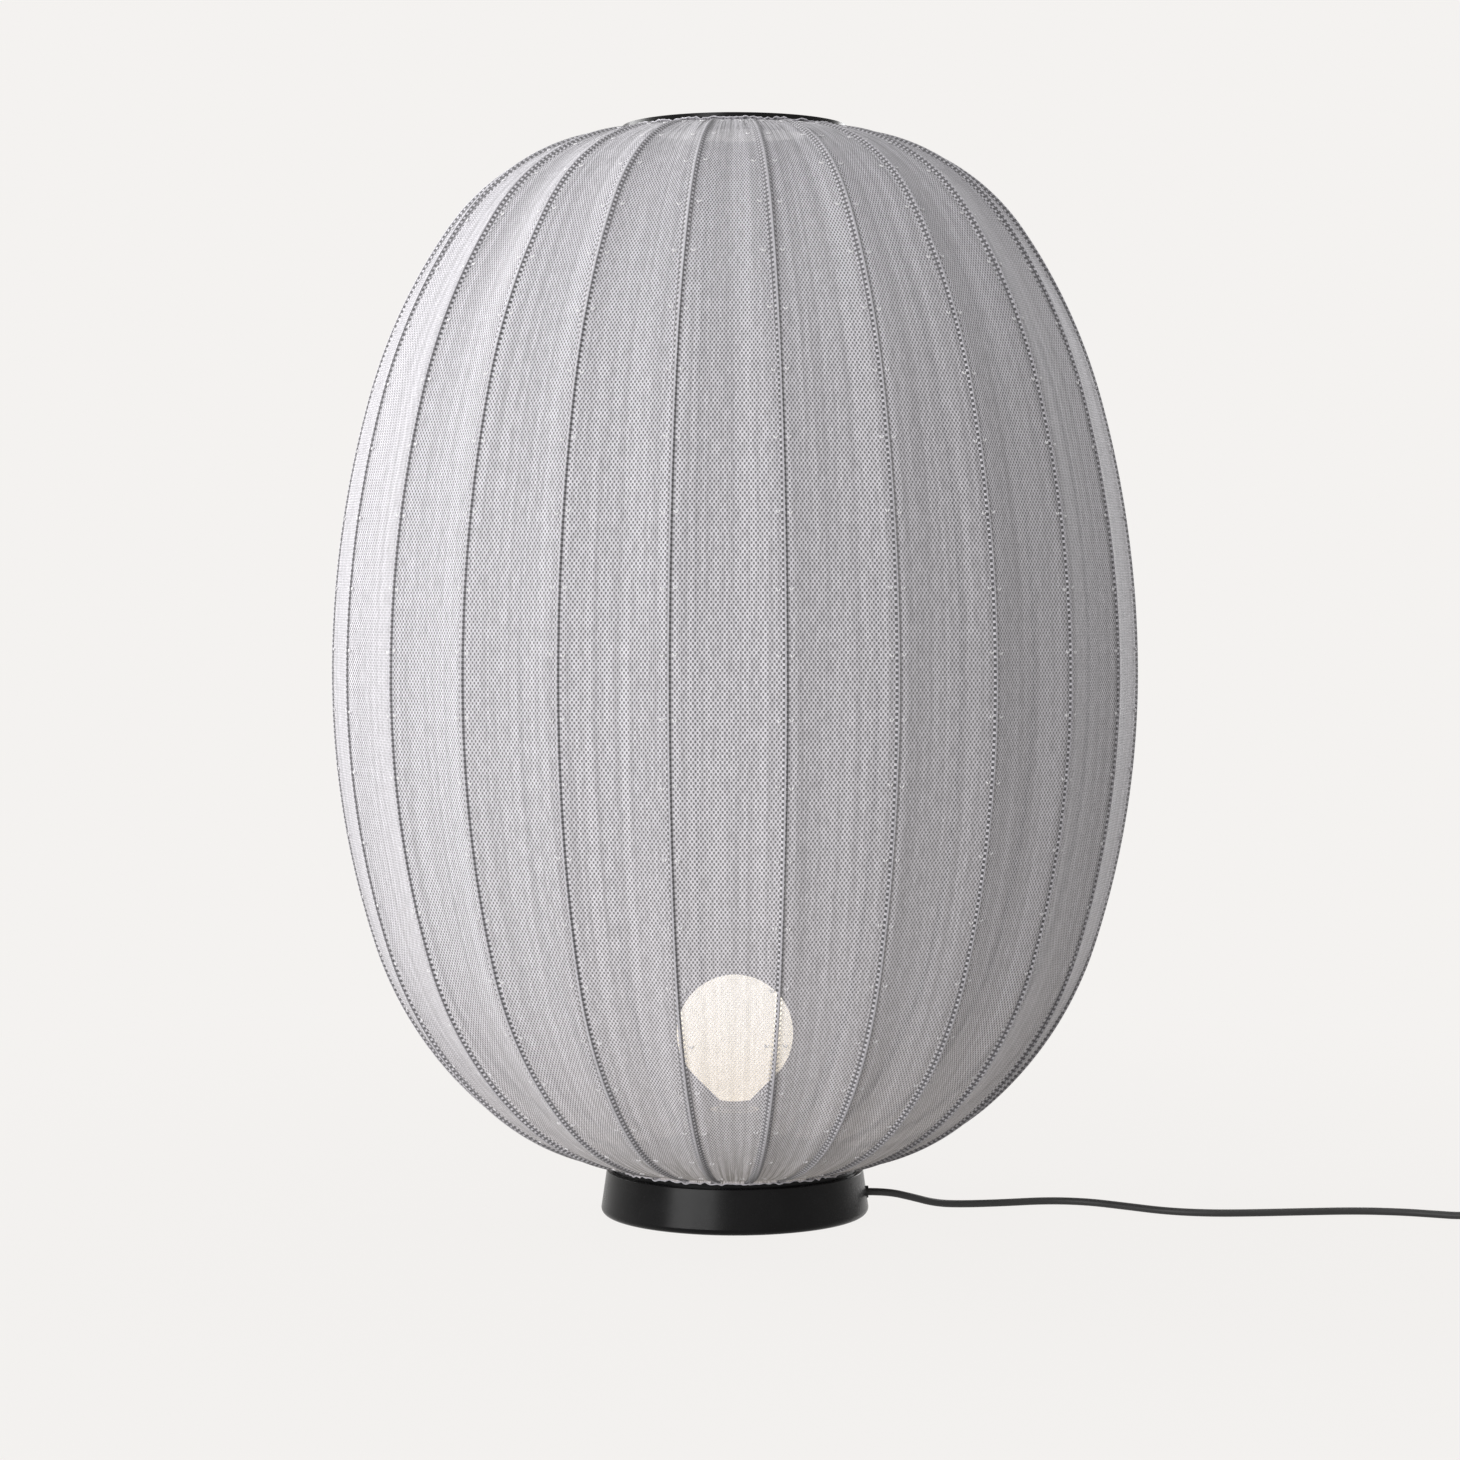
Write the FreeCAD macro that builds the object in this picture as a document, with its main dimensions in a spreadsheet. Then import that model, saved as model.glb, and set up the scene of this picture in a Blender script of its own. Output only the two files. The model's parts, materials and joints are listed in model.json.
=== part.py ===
# Knitted floor lamp: a tall onion-shaped knitted cover stretched over 24 bent ribs, held between a ring
# on a weighted base and a ring round the open mouth, with an opal globe bulb low inside.
# Millimetres. The origin is on the floor under the middle of the base, +Z is up and -Y is the front.
import FreeCAD, Part
import math
import os

import Sketcher
from FreeCAD import Placement, Rotation, Vector

# Driving dimensions. Each becomes a cell of the sheet under its own name.
sizes = {
    # Base
    "base_radius": 109.0,
    "base_taper": 4.4,
    "base_height": 37.0,
    "foot_round": 5.0,
    "foot_gap": 0.8,
    "rim_round": 0.8,
    "rim_land": 4.5,
    "deck_drop": 2.0,
    "deck_thickness": 3.0,
    "housing_wall": 2.5,
    "pad_thickness": 2.0,
    "pad_inset": 3.0,
    "plate_thickness": 2.0,
    "plate_clearance": 0.4,
    "weight_thickness": 18.0,
    "weight_bore": 40.0,
    "weight_clearance": 1.0,
    "weight_slot": 17.0,
    "boss_circle": 70.0,
    "boss_radius": 5.0,
    "boss_clearance": 0.5,
    "plate_screw_radius": 2.0,
    "plate_screw_length": 14.0,
    "plate_screw_head_radius": 3.5,
    "plate_screw_head_height": 1.5,
    "screw_fit": 0.1,
    "screw_hole_clearance": 0.4,
    # Cord entry
    "cord_radius": 3.0,
    "cord_height": 17.5,
    "cord_fit": 0.1,
    "grommet_wall": 1.8,
    "grommet_proud": 1.6,
    "grommet_length": 9.0,
    "grommet_flange": 2.0,
    "grommet_flange_thickness": 2.0,
    "clamp_place": 29.5,
    "clamp_length": 9.0,
    "clamp_width": 22.0,
    "clamp_above_cord": 5.0,
    "clamp_screw_spacing": 15.0,
    "clamp_screw_radius": 1.5,
    "clamp_screw_head_radius": 2.8,
    "clamp_screw_head_height": 2.0,
    "cord_tail": 3.0,
    "terminal_length": 20.0,
    "terminal_width": 14.0,
    "terminal_height": 14.0,
    "lead_radius": 0.9,
    # Lampholder
    "stem_radius": 5.0,
    "stem_bore": 3.5,
    "stem_fit": 0.2,
    "stem_below_nut": 3.0,
    "stem_above_floor": 4.0,
    "nut_flats": 17.0,
    "nut_height": 4.0,
    "holder_radius": 20.0,
    "holder_wall": 2.0,
    "holder_floor": 2.5,
    "holder_cap_height": 22.0,
    "insert_thickness": 10.0,
    "insert_ledge": 3.0,
    "insert_clearance": 0.3,
    "skirt_height": 28.0,
    "skirt_lip_thickness": 2.0,
    "skirt_lip_bore": 15.5,
    "shell_clearance": 0.35,
    "shell_wall": 0.5,
    "shell_height": 24.0,
    "contact_radius": 5.0,
    "contact_height": 2.2,
    # Bulb
    "bulb_radius": 47.5,
    "bulb_wall": 1.0,
    "bulb_throat": 6.0,
    "bulb_cone": 27.0,
    "bulb_neck_length": 2.0,
    "neck_grip": 5.0,
    "cap_radius": 13.1,
    "cap_wall": 0.5,
    "cap_fit": 0.1,
    "cap_length": 24.0,
    "tip_radius": 4.8,
    "tip_shoulder": 11.0,
    "tip_height": 4.5,
    "running_gap": 0.3,
    # Shade frame
    "shade_radius": 325.2,
    "upper_side_radius": 837.0,
    "upper_side_turn": 15.35,
    "upper_shoulder_radius": 453.0,
    "upper_shoulder_turn": 34.5,
    "crown_radius": 182.0,
    "lower_side_radius": 705.0,
    "lower_side_turn": 17.66,
    "lower_shoulder_radius": 298.0,
    "lower_shoulder_turn": 47.7,
    "belly_radius": 208.5,
    "rib_radius": 1.5,
    "rib_seat": 5.0,
    "rib_fit": 0.15,
    "rib_to_knit": 0.3,
    "ring_thickness": 8.0,
    "ring_clearance": 0.6,
    "ring_behind_ribs": 3.6,
    "bottom_ring_stand": 10.4,
    "top_ring_radius": 91.0,
    "top_ring_stand": 8.7,
    "ring_screw_radius": 2.0,
    "ring_screw_grip": 6.0,
    "ring_screw_head_radius": 3.8,
    "ring_screw_head_height": 2.4,
    # Knitted cover
    "knit_thickness": 1.2,
    "panel_sag": 3.0,
    "hem_clearance": 0.3,
    # Foot switch on the cord
    "switch_x": 664.0,
    "switch_y": -30.0,
    "switch_length": 84.0,
    "switch_width": 36.0,
    "switch_corner": 8.0,
    "switch_wall": 2.0,
    "switch_floor": 3.0,
    "switch_base_height": 11.0,
    "switch_height": 24.0,
    "switch_top_thickness": 2.5,
    "switch_edge_round": 1.5,
    "switch_cord_height": 6.0,
    "button_radius": 11.0,
    "button_fit": 0.4,
    "button_proud": 4.0,
    "button_round": 1.5,
    "button_flange": 1.6,
    "button_flange_thickness": 2.0,
    "button_recess": 4.8,
    "spring_radius": 4.0,
    "spring_wire": 0.4,
    "spring_clearance": 0.6,
    "post_radius": 2.2,
    "post_height": 6.0,
    "switch_screw_spacing": 64.0,
    "switch_screw_radius": 1.3,
    "switch_screw_length": 12.0,
    "switch_screw_head_radius": 2.4,
    "switch_screw_head_height": 1.4,
    "switch_boss_wall": 2.0,
    # Put-away coil and plug
    "coil_x": 707.0,
    "coil_y": 104.0,
    "coil_inner_radius": 24.5,
    "coil_pitch": 6.5,
    "coil_lift": 1.4,
    "plug_length": 36.0,
    "plug_width": 34.0,
    "plug_thickness": 14.0,
    "plug_rear_width": 14.0,
    "plug_shoulder": 13.0,
    "plug_round": 2.0,
    "plug_run": 66.0,
    "pin_radius": 2.0,
    "pin_length": 19.0,
    "pin_spacing": 18.6,
}

rib_count = 24
boss_count = 3
ring_screw_count = 4
coil_turns = 7
spring_turns = 6
sections_per_arc = 4

os.makedirs("parts", exist_ok=True)
doc = FreeCAD.newDocument("knitted_floor_lamp")
sheet = doc.addObject("Spreadsheet::Sheet", "Sizes")
for row, (alias, number) in enumerate(sizes.items(), start=1):
    sheet.set(f"A{row}", alias)
    sheet.set(f"B{row}", str(number))
    sheet.setAlias(f"B{row}", alias)
doc.recompute()


class Size:
    """A number together with the sheet expression that gives it."""

    def __init__(self, text, value):
        self.text = text
        self.value = value

    def join(self, sign, other, value):
        text = other.text if isinstance(other, Size) else repr(float(other))
        return Size(f"({self.text} {sign} {text})", value)

    def __add__(self, other):
        return self.join("+", other, self.value + amount(other))

    def __sub__(self, other):
        return self.join("-", other, self.value - amount(other))

    def __mul__(self, other):
        return self.join("*", other, self.value * amount(other))

    def __truediv__(self, other):
        return self.join("/", other, self.value / amount(other))

    def __neg__(self):
        return Size(f"(-1 * {self.text})", -self.value)


class Sheet:
    """The sheet's cells by name."""

    def __getattr__(self, alias):
        return Size(f"Sizes.{alias}", float(sheet.get(alias)))


def amount(item):
    return item.value if isinstance(item, Size) else float(item)


def root(item):
    return Size(f"sqrt({item.text})", math.sqrt(item.value))


def bind(target, **properties):
    for name, item in properties.items():
        target.setExpression(name.replace("__", "."), item.text)


d = Sheet()
nodes = []


# Helpers for bodies and sketches

def origin_feature(body, role):
    return next(item for item in body.Origin.OriginFeatures if item.Role == role)


def new_body(label):
    body = doc.addObject("PartDesign::Body", label)
    body.Label = label
    nodes.append(body)
    return body


def new_sketch(body, role, lift=None):
    sketch = body.newObject("Sketcher::SketchObject", f"{body.Name}_sketch")
    sketch.AttachmentSupport = [(origin_feature(body, role), "")]
    sketch.MapMode = "FlatFace"
    if lift is not None:
        bind(sketch, AttachmentOffset__Base__z=lift)
    return sketch


def fix_point(sketch, geometry, end, x, y):
    """Ties a point to the sheet, or to an axis where its coordinate is plain zero."""
    for kind, axis, place in (("DistanceX", -2, x), ("DistanceY", -1, y)):
        if isinstance(place, Size):
            rule = Sketcher.Constraint(kind, -1, 1, geometry, end, place.value)
            sketch.setExpression(f"Constraints[{sketch.addConstraint(rule)}]", place.text)
        else:
            sketch.addConstraint(Sketcher.Constraint("PointOnObject", geometry, end, axis))


def arc_between(start, stop, radius):
    """Arc from start to stop, turning left for a positive radius and right for a negative one."""
    if radius < 0:
        start, stop, radius = stop, start, -radius
    half = (stop - start) * 0.5
    side = Vector(-half.y, half.x, 0).normalize()
    centre = start + half + side * math.sqrt(max(radius ** 2 - half.Length ** 2, 0.0))
    first = math.atan2(start.y - centre.y, start.x - centre.x)
    last = math.atan2(stop.y - centre.y, stop.x - centre.x)
    return Part.ArcOfCircle(Part.Circle(centre, Vector(0, 0, 1), radius), first, last)


def draw_outline(sketch, corners):
    """Closed outline. A corner is (x, y), or (x, y, radius) where an arc leads on to the next corner."""
    places = [Vector(amount(corner[0]), amount(corner[1]), 0) for corner in corners]
    offset = sketch.GeometryCount
    ends = []
    for index, corner in enumerate(corners):
        following = places[(index + 1) % len(places)]
        if len(corner) == 3:
            sketch.addGeometry(arc_between(places[index], following, corner[2].value))
            ends.append((1, 2) if corner[2].value > 0 else (2, 1))
        else:
            sketch.addGeometry(Part.LineSegment(places[index], following))
            ends.append((1, 2))
    for index in range(len(corners)):
        following = (index + 1) % len(corners)
        sketch.addConstraint(Sketcher.Constraint(
            "Coincident", offset + index, ends[index][1], offset + following, ends[following][0]))
    for index, corner in enumerate(corners):
        fix_point(sketch, offset + index, ends[index][0], corner[0], corner[1])
        if len(corner) == 3:
            radius = corner[2] if corner[2].value > 0 else -corner[2]
            rule = Sketcher.Constraint("Radius", offset + index, radius.value)
            sketch.setExpression(f"Constraints[{sketch.addConstraint(rule)}]", radius.text)


def draw_circle(sketch, x, y, radius):
    centre = Vector(amount(x), amount(y), 0)
    index = sketch.addGeometry(Part.Circle(centre, Vector(0, 0, 1), radius.value))
    fix_point(sketch, index, 3, x, y)
    rule = Sketcher.Constraint("Radius", index, radius.value)
    sketch.setExpression(f"Constraints[{sketch.addConstraint(rule)}]", radius.text)


def rounded_rectangle(length, width, corner):
    """Corners of a rectangle about the origin with rounded corners."""
    x, y = length / 2, width / 2
    return [(x - corner, -y, corner), (x, corner - y), (x, y - corner, corner), (x - corner, y),
            (corner - x, y, corner), (-x, y - corner), (-x, corner - y, corner), (corner - x, -y)]


def turn(body, corners, role="XZ_Plane", axis=None):
    """Turned solid about the upright axis, or about the line between the two points of axis."""
    sketch = new_sketch(body, role)
    if axis:
        start, stop = (Vector(amount(x), amount(y), 0) for x, y in axis)
        line = sketch.addGeometry(Part.LineSegment(start, stop), True)
        fix_point(sketch, line, 1, *axis[0])
        fix_point(sketch, line, 2, *axis[1])
    draw_outline(sketch, corners)
    feature = body.newObject("PartDesign::Revolution", f"{body.Name}_turned")
    feature.Profile = sketch
    feature.ReferenceAxis = (sketch, ["Axis0" if axis else "V_Axis"])
    feature.Angle = 360
    return feature


def pad(body, length, lift=None, outline=None, circles=()):
    """Solid pulled up from an outline or from circles, at the height lift."""
    sketch = new_sketch(body, "XY_Plane", lift)
    if outline:
        draw_outline(sketch, outline)
    for circle in circles:
        draw_circle(sketch, *circle)
    feature = body.newObject("PartDesign::Pad", f"{body.Name}_pad")
    feature.Profile = sketch
    bind(feature, Length=length)
    return feature


def cut_through(body, circles=(), outline=None):
    """Cut up and down through the whole body."""
    sketch = new_sketch(body, "XY_Plane")
    if outline:
        draw_outline(sketch, outline)
    for circle in circles:
        draw_circle(sketch, *circle)
    feature = body.newObject("PartDesign::Pocket", f"{body.Name}_cut")
    feature.Profile = sketch
    feature.SideType = "Symmetric"
    feature.Type = "ThroughAll"
    return feature


def cut_up(body, length, lift, circles=(), outline=None):
    """Cut upwards from the height lift."""
    sketch = new_sketch(body, "XY_Plane", lift)
    if outline:
        draw_outline(sketch, outline)
    for circle in circles:
        draw_circle(sketch, *circle)
    feature = body.newObject("PartDesign::Pocket", f"{body.Name}_cut")
    feature.Profile = sketch
    feature.Reversed = True
    bind(feature, Length=length)
    return feature


def repeat_round(body, features, count, role="Z_Axis"):
    pattern = body.newObject("PartDesign::PolarPattern", f"{body.Name}_round")
    pattern.Originals = features
    pattern.Axis = (origin_feature(body, role), [""])
    pattern.Angle = 360
    pattern.Occurrences = count
    body.Tip = pattern


def add_shape(label, shape, placement=None):
    feature = doc.addObject("Part::Feature", label)
    feature.Label = label
    feature.Shape = shape
    if placement:
        feature.Placement = placement
    nodes.append(feature)
    return feature


# Helpers for tubes

def rounded_path(points):
    """Wire through the points, with each corner as large an arc as its runs allow, and the arcs' radii."""
    reach = 0.45
    edges, radii = [], []
    last = points[0]
    for before, corner, after in zip(points, points[1:], points[2:]):
        into, out = (corner - before), (after - corner)
        tangent = reach * min(into.Length, out.Length)
        turned = into.getAngle(out)
        radius = tangent / math.tan(turned / 2)
        into.normalize()
        out.normalize()
        start, stop = corner - into * tangent, corner + out * tangent
        inward = (out - into).normalize()
        middle = corner + inward * (radius / math.cos(turned / 2) - radius)
        edges.append(Part.LineSegment(last, start).toShape())
        edges.append(Part.Arc(start, middle, stop).toShape())
        radii.append(radius)
        last = stop
    edges.append(Part.LineSegment(last, points[-1]).toShape())
    return Part.Wire(edges), radii


def biarc(start, heading, stop, arrival):
    """Two arcs that leave start along heading and reach stop along arrival."""
    gap = stop - start
    both = heading + arrival
    square = 2 * (1 - heading.dot(arrival))
    along = gap.dot(both)
    reach = (-along + math.sqrt(along ** 2 + square * gap.dot(gap))) / square
    joint = (start + heading * reach + stop - arrival * reach) * 0.5
    return [arc_from(start, heading, joint), arc_from(stop, arrival * -1, joint).reversed()]


def arc_from(start, heading, stop):
    chord = stop - start
    turned = heading.getAngle(chord)
    across = (heading - chord * (heading.dot(chord) / chord.dot(chord))).normalize()
    middle = start + chord * 0.5 + across * (chord.Length / 2 * math.tan(turned / 2))
    return Part.Arc(start, middle, stop).toShape()


def sweep_tube(path, radius, name):
    """Round tube along a wire. Its volume is compared with its section times its length."""
    first = path.OrderedEdges[0]
    start = first.valueAt(first.FirstParameter)
    if first.Orientation == "Reversed":
        start = first.valueAt(first.LastParameter)
    heading = first.tangentAt(first.FirstParameter)
    profile = Part.Wire([Part.makeCircle(radius, start, heading)])
    tube = path.makePipeShell([profile], True, False)
    expected = math.pi * radius ** 2 * path.Length
    error = abs(tube.Volume / expected - 1)
    assert tube.isValid() and error < 0.01, f"{name}: volume off by {error:.3%}"
    print(f"{name}: length {path.Length:.1f} mm, volume within {error:.4%} of section times length")
    return tube


def wound_path(centre, radius_at, height_at, turns):
    """Wire that winds about an upright axis in quarter turns, each of two arcs."""
    def place(angle):
        radius = radius_at(angle)
        return centre + Vector(radius * math.cos(angle), radius * math.sin(angle), height_at(angle))

    def heading(angle):
        step = math.radians(2)
        return (place(angle + step) - place(angle - step)).normalize()

    edges = []
    for quarter in range(round(turns * 4)):
        start, stop = quarter * math.pi / 2, (quarter + 1) * math.pi / 2
        edges += biarc(place(start), heading(start), place(stop), heading(stop))
    return edges


def self_gap(path, radius, skip):
    """Least gap of a wound tube to itself, between points more than skip apart along it."""
    spacing = 2.0
    points = path.discretize(Distance=spacing)
    stride = int(skip / spacing)
    least = min((points[a] - points[b]).Length
                for a in range(len(points)) for b in range(a + stride, len(points)))
    return least - 2 * radius


# Base

deck = d.base_height - d.deck_drop
deck_under = deck - d.deck_thickness
top_radius = d.base_radius - d.base_taper
foot_opening = d.base_radius - d.foot_round
foot_top = d.foot_gap + d.foot_round
recess_radius = top_radius - d.rim_land
plate_top = d.pad_thickness + d.plate_thickness
plate_radius = foot_opening - d.plate_clearance
bottom_ring_radius = recess_radius - d.ring_clearance
ring_screw_circle = bottom_ring_radius - d.ring_thickness / 2
wall_slope = d.base_taper / (d.base_height - foot_top)
wall_at_cord = d.base_radius - wall_slope * (d.cord_height - foot_top)
grommet_bore = d.cord_radius + d.cord_fit
grommet_radius = grommet_bore + d.grommet_wall

housing = new_body("base_housing")
turn(housing, [
    (foot_opening, d.foot_gap, d.foot_round),
    (d.base_radius, foot_top),
    (top_radius, d.base_height - d.rim_round, d.rim_round),
    (top_radius - d.rim_round, d.base_height),
    (recess_radius, d.base_height),
    (recess_radius, deck),
    (d.stem_radius + d.stem_fit, deck),
    (d.stem_radius + d.stem_fit, deck_under),
    (top_radius - d.housing_wall, deck_under),
    (d.base_radius - d.housing_wall, foot_top, d.housing_wall - d.foot_round),
    (foot_opening, d.foot_gap + d.housing_wall),
])
boss = pad(housing, deck_under - plate_top, plate_top, circles=[
    (-d.boss_circle, 0, d.boss_radius),
    (-d.boss_circle, 0, d.plate_screw_radius + d.screw_fit)])
repeat_round(housing, [boss], boss_count)
ring_screw_hole = cut_through(housing, [
    (ring_screw_circle, 0, d.ring_screw_radius + d.screw_hole_clearance)])
repeat_round(housing, [ring_screw_hole], ring_screw_count)
cord_hole_sketch = new_sketch(housing, "YZ_Plane")
draw_circle(cord_hole_sketch, 0, d.cord_height, grommet_radius + d.cord_fit)
cord_hole = housing.newObject("PartDesign::Pocket", "base_housing_cord_hole")
cord_hole.Profile = cord_hole_sketch
cord_hole.Reversed = True
bind(cord_hole, Length=d.base_radius)
housing.Tip = cord_hole

weight = new_body("base_weight")
weight_radius = top_radius - d.housing_wall - d.weight_clearance
turn(weight, [
    (d.weight_bore, plate_top),
    (weight_radius, plate_top),
    (weight_radius, plate_top + d.weight_thickness),
    (d.weight_bore, plate_top + d.weight_thickness),
])
boss_hole = cut_through(weight, [(-d.boss_circle, 0, d.boss_radius + d.boss_clearance)])
repeat_round(weight, [boss_hole], boss_count)
weight.Tip = cut_through(weight, outline=[
    (0, -d.weight_slot / 2), (d.base_radius, -d.weight_slot / 2),
    (d.base_radius, d.weight_slot / 2), (0, d.weight_slot / 2)])

plate = new_body("base_plate")
pad(plate, d.plate_thickness, d.pad_thickness, circles=[(0, 0, plate_radius)])
plate_hole = cut_through(plate, [(-d.boss_circle, 0, d.plate_screw_radius + d.screw_hole_clearance)])
repeat_round(plate, [plate_hole], boss_count)
clamp_screw_side = d.clamp_screw_spacing / 2
plate.Tip = cut_through(plate, [
    (d.clamp_place, side, d.clamp_screw_radius + d.screw_fit)
    for side in (-clamp_screw_side, clamp_screw_side)])

foot_pad = new_body("base_pad")
pad(foot_pad, d.pad_thickness, circles=[(0, 0, plate_radius - d.pad_inset)])
pad_hole = cut_through(foot_pad, [(-d.boss_circle, 0, d.plate_screw_head_radius + d.boss_clearance)])
repeat_round(foot_pad, [pad_hole], boss_count)
foot_pad.Tip = cut_through(foot_pad, [
    (d.clamp_place, side, d.clamp_screw_radius + d.screw_hole_clearance)
    for side in (-clamp_screw_side, clamp_screw_side)])


def screw_outline(place, seat, tip, radius, head_radius, head):
    """Half section of a screw on the upright line at place, its head's flat face at seat."""
    return [(place, head), (place + head_radius, head), (place + head_radius, seat),
            (place + radius, seat), (place + radius, tip), (place, tip)]


plate_screws = new_body("base_plate_screws")
plate_screw_tip = d.pad_thickness + d.plate_screw_length
plate_screw = turn(plate_screws, screw_outline(
    -d.boss_circle, d.pad_thickness, plate_screw_tip, d.plate_screw_radius,
    d.plate_screw_head_radius, d.pad_thickness - d.plate_screw_head_height),
    axis=[(-d.boss_circle, d.pad_thickness), (-d.boss_circle, plate_screw_tip)])
repeat_round(plate_screws, [plate_screw], boss_count)

# Cord entry and terminals

grommet = new_body("cord_grommet")
exit_x = wall_at_cord + d.grommet_proud
grommet_inner = exit_x - d.grommet_length
flange_end = grommet_inner + d.grommet_flange_thickness
flange_radius = grommet_radius + d.grommet_flange
turn(grommet, [
    (grommet_inner, d.cord_height + grommet_bore),
    (exit_x, d.cord_height + grommet_bore),
    (exit_x, d.cord_height + grommet_radius),
    (flange_end, d.cord_height + grommet_radius),
    (flange_end, d.cord_height + flange_radius),
    (grommet_inner, d.cord_height + flange_radius),
], axis=[(grommet_inner, d.cord_height), (exit_x, d.cord_height)])

clamp_front = d.clamp_place + d.clamp_length / 2
clamp_back = d.clamp_place - d.clamp_length / 2
cord_inner = clamp_back - d.cord_tail
held_cord = new_body("cord_in_base")
turn(held_cord, [
    (cord_inner, d.cord_height),
    (exit_x, d.cord_height),
    (exit_x, d.cord_height + d.cord_radius),
    (cord_inner, d.cord_height + d.cord_radius),
], axis=[(cord_inner, d.cord_height), (exit_x, d.cord_height)])

clamp = new_body("cord_clamp")
clamp_top = d.cord_height + d.clamp_above_cord
pad(clamp, clamp_top - plate_top, plate_top, outline=[
    (clamp_back, -d.clamp_width / 2), (clamp_front, -d.clamp_width / 2),
    (clamp_front, d.clamp_width / 2), (clamp_back, d.clamp_width / 2)])
cut_through(clamp, [(d.clamp_place, side, d.clamp_screw_radius + d.screw_fit)
                    for side in (-clamp_screw_side, clamp_screw_side)])
clamp_bore_sketch = new_sketch(clamp, "YZ_Plane")
draw_circle(clamp_bore_sketch, 0, d.cord_height, grommet_bore)
clamp_bore = clamp.newObject("PartDesign::Pocket", "cord_clamp_bore")
clamp_bore.Profile = clamp_bore_sketch
clamp_bore.SideType = "Symmetric"
clamp_bore.Type = "ThroughAll"

clamp_screws = new_body("cord_clamp_screws")
for side in (-clamp_screw_side, clamp_screw_side):
    pad(clamp_screws, clamp_top - d.pad_thickness, d.pad_thickness,
        circles=[(d.clamp_place, side, d.clamp_screw_radius)])
    pad(clamp_screws, d.clamp_screw_head_height, clamp_top,
        circles=[(d.clamp_place, side, d.clamp_screw_head_radius)])

terminal = doc.addObject("Part::Box", "terminal_block")
terminal.Label = "terminal_block"
bind(terminal, Length=d.terminal_length, Width=d.terminal_width, Height=d.terminal_height,
     Placement__Base__x=-d.terminal_length / 2, Placement__Base__y=-d.terminal_width / 2,
     Placement__Base__z=plate_top)
nodes.append(terminal)

# Lampholder

stem_low = deck_under - d.nut_height - d.stem_below_nut
stem_high = deck + d.holder_floor + d.stem_above_floor
ledge = deck + d.holder_cap_height - d.insert_thickness
insert_top = deck + d.holder_cap_height
holder_bore = d.holder_radius - d.holder_wall

stem = new_body("threaded_stem")
turn(stem, [(d.stem_bore, stem_low), (d.stem_radius, stem_low),
            (d.stem_radius, stem_high), (d.stem_bore, stem_high)])

nut = new_body("stem_nut")
nut_corner = d.nut_flats / math.sqrt(3)
half_root = math.sqrt(3) / 2
pad(nut, d.nut_height, deck_under - d.nut_height, outline=[
    (nut_corner, 0), (nut_corner / 2, nut_corner * half_root),
    (-nut_corner / 2, nut_corner * half_root), (-nut_corner, 0),
    (-nut_corner / 2, -nut_corner * half_root), (nut_corner / 2, -nut_corner * half_root)])
cut_through(nut, [(0, 0, d.stem_radius + d.stem_fit)])

holder_cap = new_body("lampholder_cap")
turn(holder_cap, [
    (d.stem_radius + d.stem_fit, deck),
    (d.holder_radius, deck),
    (d.holder_radius, insert_top),
    (holder_bore, insert_top),
    (holder_bore, ledge),
    (holder_bore - d.insert_ledge, ledge),
    (holder_bore - d.insert_ledge, deck + d.holder_floor),
    (d.stem_radius + d.stem_fit, deck + d.holder_floor),
])

insert = new_body("lampholder_insert")
pad(insert, d.insert_thickness, ledge, circles=[(0, 0, holder_bore - d.insert_clearance)])

skirt = new_body("lampholder_skirt")
skirt_top = insert_top + d.skirt_height
turn(skirt, [
    (holder_bore, insert_top),
    (d.holder_radius, insert_top),
    (d.holder_radius, skirt_top),
    (d.skirt_lip_bore, skirt_top),
    (d.skirt_lip_bore, skirt_top - d.skirt_lip_thickness),
    (holder_bore, skirt_top - d.skirt_lip_thickness),
])

shell = new_body("screw_shell")
shell_bore = d.cap_radius + d.shell_clearance
turn(shell, [(shell_bore, insert_top), (shell_bore + d.shell_wall, insert_top),
             (shell_bore + d.shell_wall, insert_top + d.shell_height),
             (shell_bore, insert_top + d.shell_height)])

contact = new_body("centre_contact")
contact_top = insert_top + d.contact_height
turn(contact, [(0, insert_top), (d.contact_radius, insert_top),
               (d.contact_radius, insert_top + d.contact_height / 2),
               (d.contact_radius / 2, contact_top), (0, contact_top)])

# Leads: two from the cord to the terminals, two from the terminals up the stem

terminal_middle = (plate_top + d.terminal_height / 2).value
terminal_end = d.terminal_length.value / 2
lead_room = cord_inner.value - terminal_end
stem_mouth = stem_low.value - plate_top.value
leads = []
for side in (-1, 1):
    lead_x, lead_z = cord_inner.value, d.cord_height.value
    spread = side * d.cord_radius.value / 2
    up_side = side * d.stem_bore.value / 2
    into_terminal = [
        Vector(lead_x, spread, lead_z),
        Vector(lead_x - 0.4 * lead_room, spread, lead_z),
        Vector(lead_x - 0.6 * lead_room, 2 * spread, terminal_middle),
        Vector(terminal_end, 2 * spread, terminal_middle)]
    into_stem = [
        Vector(-terminal_end, 2 * spread, terminal_middle),
        Vector(-1.5 * terminal_end, 2 * spread, terminal_middle),
        Vector(-1.5 * terminal_end, up_side, plate_top.value + 0.74 * stem_mouth),
        Vector(0, up_side, plate_top.value + 0.82 * stem_mouth),
        Vector(0, up_side, ledge.value)]
    for points in (into_terminal, into_stem):
        leads.append(sweep_tube(rounded_path(points)[0], d.lead_radius.value, "lead"))
add_shape("lead_wires", Part.makeCompound(leads))

# Bulb

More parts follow.
